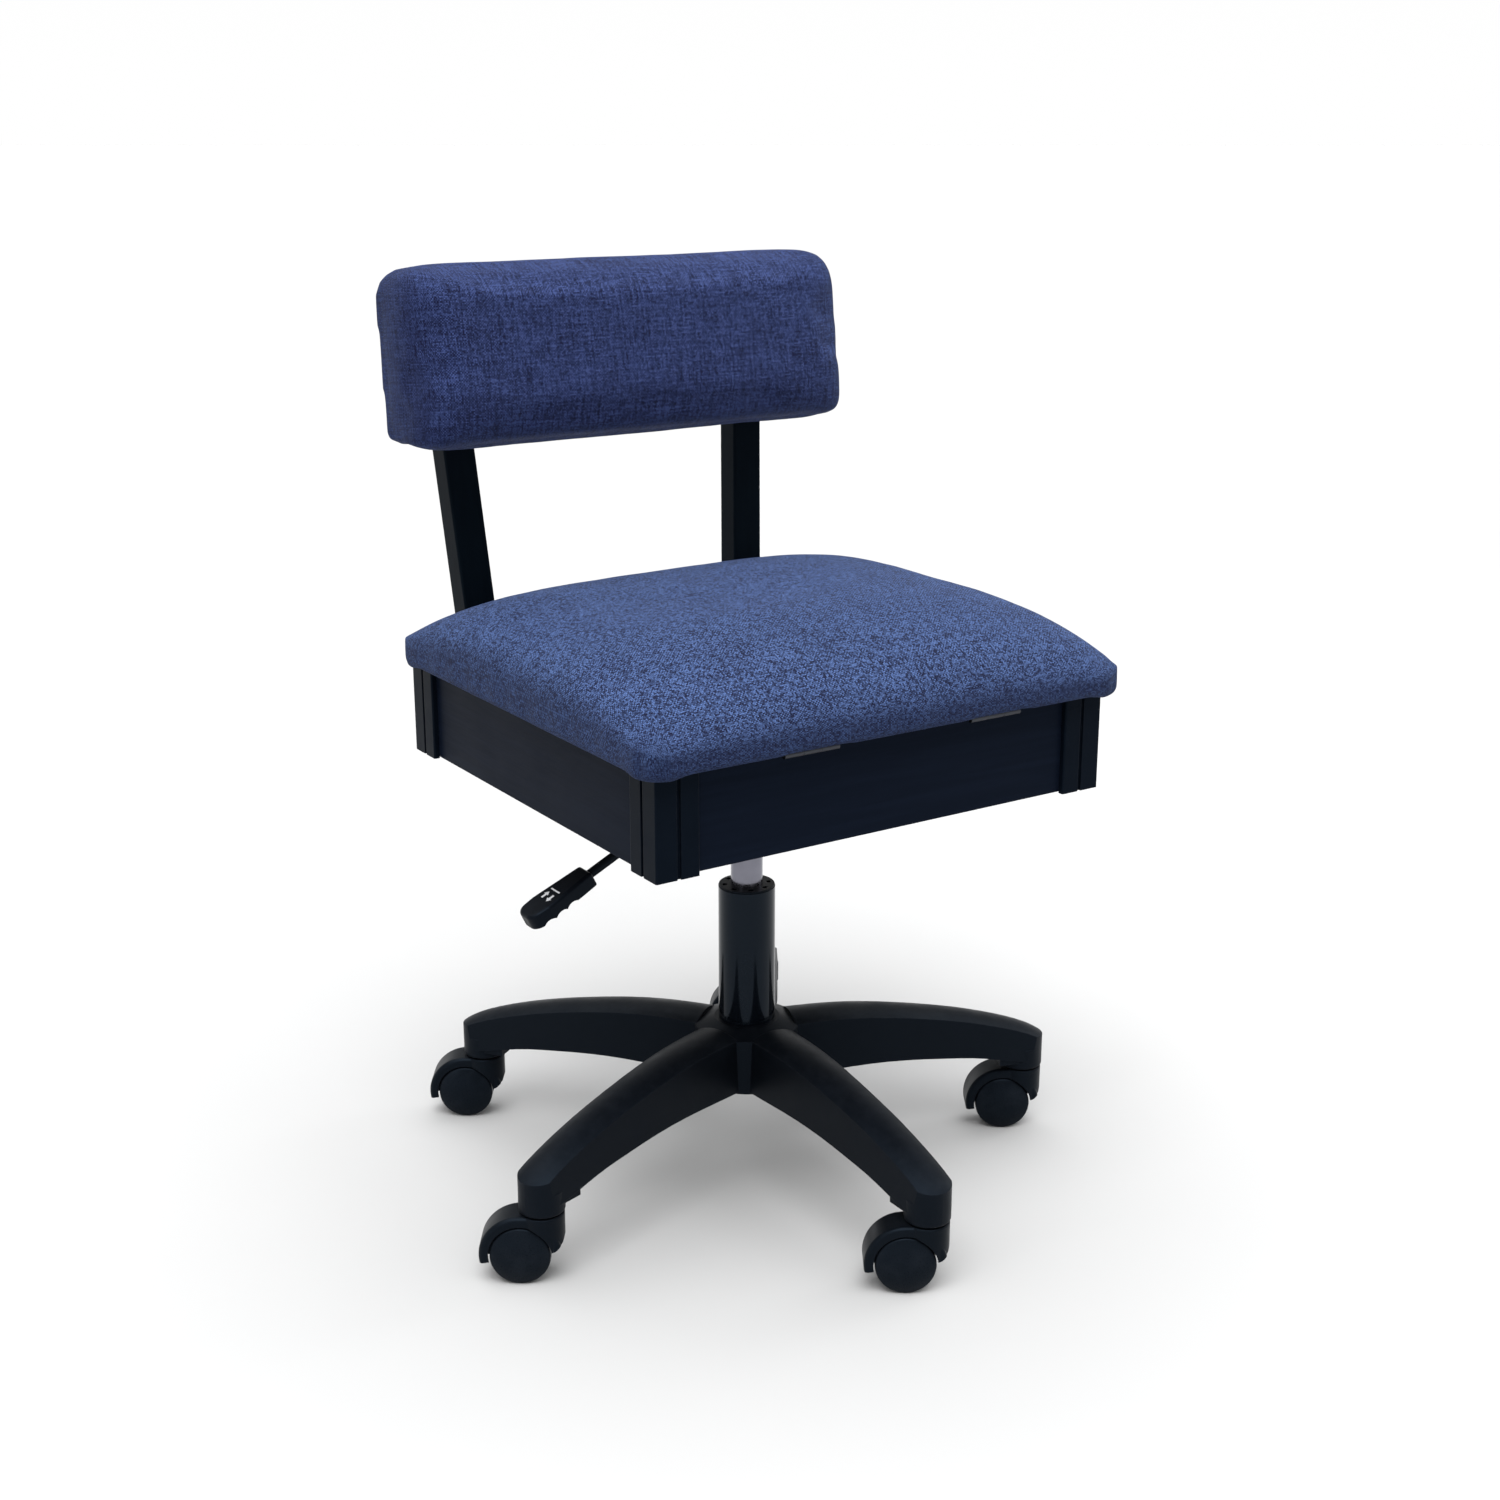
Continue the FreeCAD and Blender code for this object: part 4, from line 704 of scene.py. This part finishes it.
def corner_pleats(points):
    """Pleats that fan up from the tucked edge at each corner."""
    pleat = np.zeros(len(points))
    low = points[:, 2]
    for sx in (-1, 1):
        for sy in (-1, 1):
            corner_y = SEAT_MIDDLE + sy * (SEAT_REACH - SEAT_EDGE_WRAP)
            corner = np.array([sx * (SEAT_HALF - SEAT_EDGE_WRAP), corner_y])
            away = (points[:, :2] - corner) * np.array([sx, sy])
            outside = (away[:, 0] > -0.004) & (away[:, 1] > -0.004)
            angle = np.degrees(np.arctan2(away[:, 1], away[:, 0]))
            fade = 1 - smoothstep(low, PLEAT_FOOT_Z, PLEAT_HEAD_Z)
            for heading, width, depth in SEAT_PLEATS:
                widening = smoothstep(low, PLEAT_FOOT_Z - 0.002, PLEAT_HEAD_Z - 0.002)
                spread = width * (1.0 + 0.5 * widening)
                pleat -= outside * fade * depth * np.exp(-(((angle - heading) / spread) ** 2))
    return pleat


def corner_sag(points):
    """How much lower the bunched cloth hangs at each corner, clear of the board."""
    from_middle = np.abs(points[:, 1] - SEAT_MIDDLE)
    near_x = smoothstep(np.abs(points[:, 0]), SEAT_HALF - 0.040, SEAT_HALF - 0.022)
    near_y = smoothstep(from_middle, SEAT_REACH - 0.040, SEAT_REACH - 0.022)
    past_board = np.maximum(np.abs(points[:, 0]) - BOARD_HIGH.x, 0)
    outside_board = np.maximum(
        smoothstep(past_board, 0.001, 0.003),
        smoothstep(from_middle, SEAT_REACH - 0.014, SEAT_REACH - 0.010),
    )
    low = 1 - smoothstep(points[:, 2], PLEAT_FOOT_Z, 0.480)
    return CORNER_SAG * near_x * near_y * outside_board * low


def lift_over_hinges(points):
    """Presses the lip up over each hinge's knuckles."""
    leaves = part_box("hinge_box_leaves")
    clear = leaves[1].z + 0.0008
    for start in (leaves[0].x, leaves[1].x - HINGE_LENGTH):
        beside = np.maximum(start - points[:, 0], points[:, 0] - start - HINGE_LENGTH)
        over = (1 - smoothstep(beside, 0.002, 0.007)) * (points[:, 1] < BOARD_LOW.y + 0.001)
        points[:, 2] += over * np.clip(clear - points[:, 2], 0, None)


def make_seat_pad():
    pad, weave = build_seat_pad()
    rest = read_points(pad.data)
    free = smoothstep(rest[:, 2], SEAT_WIDEST_Z - 0.011, SEAT_WIDEST_Z - 0.002)
    inflate(pad, free, SEAT_PUFF)
    points = read_points(pad.data)
    normals = read_normals(pad.data)
    lip = smoothstep(points[:, 2], LID_Z - 0.001, LID_Z + 0.004)
    relief = seat_relief(points) + corner_pleats(points)
    points += normals * (relief * np.maximum(free, 0.25 * lip))[:, None]
    points[:, 2] -= corner_sag(points)
    lift_over_hinges(points)
    write_points(pad.data, points)
    # Painted shade: the cover is lighter where it faces up and darker down its sides.
    store_cloth(pad.data, weave, smoothstep(read_normals(pad.data)[:, 2], 0.05, 0.80))
    subdivide(pad)
    paint(pad, SEAT_FABRIC)
    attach(pad, "lid")
    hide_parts("seat_cushion")


make_seat_pad()


# --------------------------------------------------------------------- back pad


def leaned(forward, up, x):
    """A point of the back's upright drawing, leant back behind the box."""
    cos, sin = math.cos(BACK_LEAN), math.sin(BACK_LEAN)
    y = BACK_FOOT.y + forward * cos + up * sin
    z = BACK_FOOT.z + up * cos - forward * sin
    return np.array([x, y, z])


def unleaned(points):
    """Forward and up coordinates, in the back's upright drawing, of points leant back."""
    cos, sin = math.cos(BACK_LEAN), math.sin(BACK_LEAN)
    y = points[:, 1] - BACK_FOOT.y
    z = points[:, 2] - BACK_FOOT.z
    return y * cos - z * sin, y * sin + z * cos


def rounded_section(outline, step):
    """Points at even spacing around a polygon whose corners each have their own radius."""
    corners = [np.array(c[:2]) for c in outline]
    path = []
    for k, corner in enumerate(corners):
        radius = outline[k][2]
        before = corners[k - 1] - corner
        after = corners[(k + 1) % len(corners)] - corner
        before /= np.linalg.norm(before)
        after /= np.linalg.norm(after)
        half = math.acos(np.clip(before @ after, -1, 1)) / 2
        reach = min(radius / math.tan(half), LONGEST_ROUNDING)
        start, end = corner + before * reach, corner + after * reach
        for t in np.linspace(0, 1, 9):
            path.append((1 - t) ** 2 * start + 2 * t * (1 - t) * corner + t * t * end)
    path = np.array(path)
    lengths = np.linalg.norm(np.roll(path, -1, axis=0) - path, axis=1)
    travelled = np.concatenate([[0], np.cumsum(lengths)])
    count = int(round(travelled[-1] / step))
    closed = np.vstack([path, path[:1]])
    at = np.linspace(0, travelled[-1], count, endpoint=False)
    return np.column_stack([np.interp(at, travelled, closed[:, k]) for k in range(2)])


def build_back_pad():
    """A block with a wedge section and rounded ends, remeshed into even cells."""
    section = rounded_section(BACK_SECTION, BACK_SECTION_STEP)
    rear = section[:, 0].max()
    middle = (section[:, 1].max() + section[:, 1].min()) / 2
    depth, half_height = -section[:, 0].min(), section[:, 1].max() - middle
    stations = []
    for side in (-1, 1):
        ends = []
        for turn in np.linspace(0, math.pi / 2, 8):
            x = side * (BACK_HALF - BACK_END_ROUND * (1 - math.sin(turn)))
            ends.append((x, BACK_END_ROUND * (1 - math.cos(turn))))
        stations += ends[::-1] if side < 0 else ends
    points = []
    for x, inset in stations:
        for forward, up in section:
            forward = rear + (forward - rear) * (1 - inset / depth)
            share = 0.9 if up > middle else 0.35
            up = middle + (up - middle) * (1 - share * inset / half_height)
            points.append(leaned(forward, up, x))
    count = len(section)
    faces = []
    for ring in range(len(stations) - 1):
        for k in range(count):
            a, b = ring * count + k, ring * count + (k + 1) % count
            faces.append((a, b, b + count, a + count))
    faces.append(tuple(range(count))[::-1])
    last = (len(stations) - 1) * count
    faces.append(tuple(last + k for k in range(count)))
    pad = mesh_object("back_pad", points, faces)
    mesh = bmesh.new()
    mesh.from_mesh(pad.data)
    bmesh.ops.recalc_face_normals(mesh, faces=mesh.faces)
    mesh.to_mesh(pad.data)
    mesh.free()
    remesh = pad.modifiers.new("even", "REMESH")
    remesh.mode = "VOXEL"
    remesh.voxel_size = BACK_CELL
    remesh.use_smooth_shade = True
    evaluated = pad.evaluated_get(bpy.context.evaluated_depsgraph_get())
    even = bpy.data.meshes.new_from_object(evaluated)
    pad.modifiers.remove(remesh)
    pad.data = even
    even.shade_smooth()
    return pad


def front_face(up):
    """How far forward the pad's front face lies at a height."""
    fronts = BACK_SECTION[1:4]
    return np.interp(up, [corner[1] for corner in fronts], [corner[0] for corner in fronts])


def back_weave(points, normals):
    """Cloth coordinates: straight across the front, then carried round the ends, top and rear."""
    forward, up = unleaned(points)
    facing_rear = smoothstep(normals[:, 1], 0.5, 0.9)
    depth = np.clip(forward - front_face(up), 0, None)
    wide = np.abs(points[:, 0])
    near_end = smoothstep(wide, BACK_HALF - 0.034, BACK_HALF - 0.004) * (1 - facing_rear)
    near_end += smoothstep(wide, BACK_HALF - 0.032, BACK_HALF - 0.022) * facing_rear
    past_end = depth + 2 * (BACK_HALF - wide) * facing_rear
    x = points[:, 0] + np.sign(points[:, 0]) * past_end * near_end
    top_level, bottom_level = BACK_SECTION[3][1], BACK_SECTION[1][1]
    top = smoothstep(up, top_level - 0.035, top_level - 0.002) * (1 - facing_rear)
    top += smoothstep(up, top_level - 0.038, top_level - 0.030) * facing_rear
    bottom = smoothstep(-up, -bottom_level - 0.026, -bottom_level - 0.004) * (1 - facing_rear)
    bottom += smoothstep(-up, -bottom_level - 0.034, -bottom_level - 0.028) * facing_rear
    over_top = (depth + 2 * (top_level - up) * facing_rear) * top
    under = (depth + 2 * (up - bottom_level) * facing_rear) * bottom
    v = up + (over_top - under) * (1 - near_end)
    return np.column_stack([x, v, np.zeros(len(points))])


def back_relief(points):
    """Foam unevenness, pull lines that run in from each end, and folds tucked behind."""
    forward, up = unleaned(points)
    wide = np.abs(points[:, 0])
    near_end = smoothstep(wide, BACK_HALF - 0.06, BACK_HALF - 0.01)
    height = 0.0007 * waves(points, 16.0, 11) * (1 - 0.7 * near_end)
    height += 0.0002 * waves(points, 80.0, 13)
    on_front = smoothstep(-forward, 0.048, 0.068)
    for side in (-1, 1):
        for level, slope, reach, depth in BACK_PULLS:
            from_end = BACK_HALF - 0.012 - side * points[:, 0]
            line = up - (level + slope * from_end)
            fade = smoothstep(from_end, -0.02, 0.012)
            fade *= 1 - smoothstep(from_end, 0.4 * reach, reach)
            height -= depth * fade * np.exp(-((line / PULL_WIDTH) ** 2)) * on_front
    low = 1 - smoothstep(up, 0.188, 0.214)
    behind = smoothstep(forward, -0.046, -0.020)
    tuck = near_end * low * behind
    height -= FOLD_DEPTH * tuck * (0.5 + 0.5 * np.cos(forward / FOLD_PITCH))
    return height


def flatten_rear(points):
    """Keeps the rear flat against the board and the posts."""
    forward, _ = unleaned(points)
    excess = np.clip(forward + 0.0005, 0, None)
    points[:, 1] -= excess * math.cos(BACK_LEAN)
    points[:, 2] += excess * math.sin(BACK_LEAN)


def make_back_pad():
    pad = build_back_pad()
    forward, _ = unleaned(read_points(pad.data))
    free = smoothstep(-forward, 0.004, 0.020)
    inflate(pad, free, BACK_PUFF)
    points = read_points(pad.data)
    points += read_normals(pad.data) * (back_relief(points) * free)[:, None]
    flatten_rear(points)
    write_points(pad.data, points)
    normals = read_normals(pad.data)
    # Painted shade: the cover is lighter on top, darker where it faces down and darkest on its
    # ends.
    ends = smoothstep(np.abs(normals[:, 0]), 0.35, 0.90)
    painted_light = (0.45 + 0.55 * smoothstep(normals[:, 2], -0.2, 0.8)) * (1 - 0.85 * ends)
    store_cloth(pad.data, back_weave(points, normals), painted_light)
    subdivide(pad)
    paint(pad, BACK_FABRIC)
    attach(pad, "seat")
    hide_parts("back_cushion")


make_back_pad()


# ------------------------------------------------------------------ small details


def add_staple(points, faces, centre, along, across, up):
    """Adds a small bar with chamfered top edges, its length, width and height along three axes."""
    length, width, height = (value / 2 for value in STAPLE)
    start = len(points)
    for level, shrink in ((-1.0, 0.0), (0.3, 0.0), (1.0, STAPLE_CHAMFER)):
        for sa, sw in ((-1, -1), (1, -1), (1, 1), (-1, 1)):
            reach_a = sa * (length - shrink)
            reach_w = sw * (width - shrink)
            points.append(centre + along * reach_a + across * reach_w + up * (level * height))
    for ring in (0, 4):
        for k in range(4):
            a, b = start + ring + k, start + ring + (k + 1) % 4
            faces.append((a, b, b + 4, a + 4))
    faces.append(tuple(start + k for k in (3, 2, 1, 0)))
    faces.append(tuple(start + 8 + k for k in range(4)))


def staples(name, places, body):
    """Driven wire staples, each placed by its centre, the way it runs and the way it faces."""
    points, faces = [], []
    for centre, along, out in places:
        centre, along, out = (np.array(v, float) for v in (centre, along, out))
        add_staple(points, faces, centre, along, np.cross(out, along), out)
    rows = mesh_object(name, points, faces, smooth=False)
    paint(rows, WIRE)
    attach(rows, body)


def seat_hem():
    """The cover's raw margin, drawn under the board all round, beneath the liner."""
    past_board = 0.0012
    half, front, rear = (
        BOARD_HIGH.x + past_board, BOARD_LOW.y - past_board, BOARD_HIGH.y + past_board,
    )
    corners = [(-half, front), (half, front), (half, rear), (-half, rear)]
    rim = []
    for k in range(4):
        start, end = np.array(corners[k]), np.array(corners[(k + 1) % 4])
        count = int(np.linalg.norm(end - start) / HEM_STEP)
        rim += [start + (end - start) * t for t in np.arange(count) / count]
    rim = np.array(rim)
    shrink = 1 - HEM_WIDTH / np.array([half, (rear - front) / 2])
    centre = np.array([0.0, (front + rear) / 2])
    inner = centre + (rim - centre) * shrink
    ripple = 0.00022 * waves(np.column_stack([rim, np.zeros(len(rim))]), 160.0, 21)
    count = len(rim)
    points, weave = [], []
    for t in (0.0, 0.35, 0.7, 1.0):
        for k in range(count):
            place = rim[k] * (1 - t) + inner[k] * t
            sink = HEM_THICKNESS - ripple[k] * math.sin(math.pi * t)
            points.append((place[0], place[1], LID_Z - sink))
            weave.append((place[0], place[1], 0))
    for ring in (inner, rim):
        for k in range(count):
            points.append((ring[k][0], ring[k][1], LID_Z + 0.0002))
            weave.append((ring[k][0], ring[k][1], 0))
    faces = []
    rings = 6
    for ring in range(rings):
        here, beyond = ring * count, ((ring + 1) % rings) * count
        for k in range(count):
            after = (k + 1) % count
            faces.append((here + k, beyond + k, beyond + after, here + after))
    hem = mesh_object("seat_hem", points, faces, smooth=False)
    # Painted shade: the hem under the board gets the darkest tone of the cover's sides.
    store_cloth(hem.data, weave, np.zeros(len(points)))
    paint(hem, SEAT_FABRIC)
    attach(hem, "lid")


def seat_staples():
    """Staples round the liner, evenly spaced and a little unevenly driven."""
    low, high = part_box("seat_liner")
    inset, spacing = 0.005, 0.032
    places = []
    for side in (-1, 1):
        for x in np.arange(low.x + 0.016, high.x - 0.010, spacing):
            y = high.y - inset if side > 0 else low.y + inset
            places.append((x, y, (1, 0)))
        for y in np.arange(low.y + 0.022, high.y - 0.016, spacing):
            x = high.x - inset if side > 0 else low.x + inset
            places.append((x, y, (0, 1)))
    made = []
    stray, skew = 0.0006, 0.10
    for x, y, (way_x, way_y) in places:
        turn = rng.normal(0, skew)
        cos, sin = math.cos(turn), math.sin(turn)
        along = (way_x * cos - way_y * sin, way_x * sin + way_y * cos, 0)
        centre = (x + rng.normal(0, stray), y + rng.normal(0, stray), low.z - 0.0001)
        made.append((centre, along, (0, 0, -1)))
    staples("seat_staples", made, "lid")


def back_staples():
    """Staples along the rim of the back's dust cover, clear of the posts."""
    out = leaned(1, 0, 0) - leaned(0, 0, 0)
    up = leaned(0, 1, 0) - leaned(0, 0, 0)
    low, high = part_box("back_board")
    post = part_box("back_post_left")
    inset = 0.006
    bottom = (low.z - BACK_FOOT.z) / math.cos(BACK_LEAN) + inset
    top = (high.z - BACK_FOOT.z) / math.cos(BACK_LEAN) - inset
    made = []
    for level in (bottom, top):
        for x in np.arange(low.x + 0.014, high.x - 0.008, 0.031):
            if abs(x) < abs(post[1].x) - inset or abs(x) > abs(post[0].x) + inset:
                made.append((leaned(0.0001, level, x), (1, 0, 0), out))
    for x in (low.x + inset, high.x - inset):
        for level in np.arange(bottom + 0.020, top - 0.010, 0.024):
            made.append((leaned(0.0001, level, x), up, out))
    staples("back_staples", made, "seat")


def paddle_print():
    """An up arrow, a down arrow and a bar, printed on the lever paddle's top.

    The shapes are drawn in millimetres across and along the paddle.
    """
    paddle = nodes["lever_paddle"]
    along = Vector((-0.9017, 0.0, -0.4325))
    up = Vector((-0.4325, 0.0, 0.9017))
    across = Vector((0.0, 1.0, 0.0))
    centre = Vector((-0.1575, 0.0, 0.3045)) + along * 0.040
    sunk, proud = -0.00015, 0.00012
    arrow = (
        (0.0, 4.6), (3.4, 1.0), (1.3, 1.0), (1.3, -3.6), (-1.3, -3.6), (-1.3, 1.0), (-3.4, 1.0),
    )
    bar = ((-7.0, 0.7), (7.0, 0.7), (7.0, -0.7), (-7.0, -0.7))
    shapes = [
        [(x - 4.6, y) for x, y in arrow],
        [(x + 4.6, -y) for x, y in arrow],
        [(x, y - 8.2) for x, y in bar],
    ]
    points, faces = [], []
    for shape in shapes:
        start, count = len(points), len(shape)
        for height in (sunk, proud):
            for x, y in shape:
                place = centre + across * (x * MM) + along * (y * MM)
                hit, spot, _, _ = paddle.ray_cast(place + up * 0.03, -up)
                points.append((spot if hit else place) + up * height)
        faces.append(tuple(start + k for k in range(count))[::-1])
        faces.append(tuple(start + count + k for k in range(count)))
        for k in range(count):
            a, b = start + k, start + (k + 1) % count
            faces.append((a, b, b + count, a + count))
    mark = mesh_object("lever_arrows", points, faces, smooth=False)
    mesh = bmesh.new()
    mesh.from_mesh(mark.data)
    bmesh.ops.triangulate(mesh, faces=[f for f in mesh.faces if len(f.verts) > 4])
    bmesh.ops.recalc_face_normals(mesh, faces=mesh.faces)
    mesh.to_mesh(mark.data)
    mesh.free()
    paint(mark, PRINT)
    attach(mark, "lever")


seat_hem()
seat_staples()
back_staples()
paddle_print()


# ------------------------------------------------------------------------ studio

HORIZON_GLOW = 1.00
ROOM_GLOW = 0.26
BANK_GLOW = 2.7
SKY_STOPS = (
    (0.0, HORIZON_GLOW), (0.13, 0.98), (0.32, 0.45), (0.52, ROOM_GLOW), (0.86, BANK_GLOW),
)
KEY_STRENGTH = 1.5
KEY_SPREAD = math.radians(40)
KEY_DIRECTION = Vector((0.30, 0.35, -1.0))
FLOOR_HALF = 60.0

CAMERA_PLACE = (-0.96227, -1.47102, 0.91908)
CAMERA_TILT = math.radians(73.152)
CAMERA_TURN = math.radians(-33.284)
CAMERA_REACH = 50.0
SENSOR_WIDTH = 36.0
FOCAL_LENGTH = 51.19

# Name, place, target, size and power of each lamp.
LAMPS = (
    ("left_strip", (-2.4, -0.6, 1.3), (0, 0, 0.40), 0.7, 6.0),
    ("right_strip", (2.3, -0.3, 1.2), (0, 0, 0.35), 0.7, 8.0),
)


def sky(tree):
    """Soft light from a broad bank overhead, a dim band round the room, and a pale horizon."""
    direction = tree.nodes.new("ShaderNodeTexCoord")
    height = tree.nodes.new("ShaderNodeSeparateXYZ")
    tree.links.new(direction.outputs["Generated"], height.inputs[0])
    bank = tree.nodes.new("ShaderNodeValToRGB")
    bank.color_ramp.interpolation = "EASE"
    tree.links.new(height.outputs["Z"], bank.inputs["Fac"])
    ramp = bank.color_ramp.elements
    while len(ramp) < len(SKY_STOPS):
        ramp.new(0.5)
    for element, (place, glow) in zip(ramp, SKY_STOPS):
        element.position = place
        element.color = rgb(*(glow / BANK_GLOW for _ in range(3)))
    background = tree.nodes["Background"]
    tree.links.new(bank.outputs["Color"], background.inputs["Color"])
    background.inputs["Strength"].default_value = BANK_GLOW


def turned_to(direction):
    """The rotation that points a lamp along a direction."""
    return direction.to_track_quat("-Z", "Y").to_euler()


def studio():
    corners = [(FLOOR_HALF * x, FLOOR_HALF * y, 0) for x, y in ((-1, -1), (1, -1), (1, 1), (-1, 1))]
    floor = mesh_object("floor", corners, [(0, 1, 2, 3)])
    paint(floor, studio_floor())
    world = bpy.data.worlds.new("studio")
    scene.world = world
    world.use_nodes = True
    sky(world.node_tree)
    for name, place, target, size, power in LAMPS:
        lamp = bpy.data.lights.new(name, "AREA")
        lamp.size = size
        lamp.energy = power
        obj = bpy.data.objects.new(name, lamp)
        obj.location = place
        obj.rotation_euler = turned_to(Vector(target) - Vector(place))
        scene.collection.objects.link(obj)
    sun = bpy.data.lights.new("soft_key", "SUN")
    sun.energy = KEY_STRENGTH
    sun.angle = KEY_SPREAD
    key = bpy.data.objects.new("soft_key", sun)
    key.rotation_euler = turned_to(KEY_DIRECTION)
    scene.collection.objects.link(key)
    scene.view_settings.view_transform = "Standard"


def camera():
    """Stands in front, to the left, and looks slightly down on the stool."""
    lens = bpy.data.cameras.new("camera")
    lens.sensor_width = SENSOR_WIDTH
    lens.lens = FOCAL_LENGTH
    lens.clip_end = CAMERA_REACH
    obj = bpy.data.objects.new("camera", lens)
    obj.location = CAMERA_PLACE
    obj.rotation_euler = (CAMERA_TILT, 0.0, CAMERA_TURN)
    scene.collection.objects.link(obj)
    scene.camera = obj


studio()
camera()
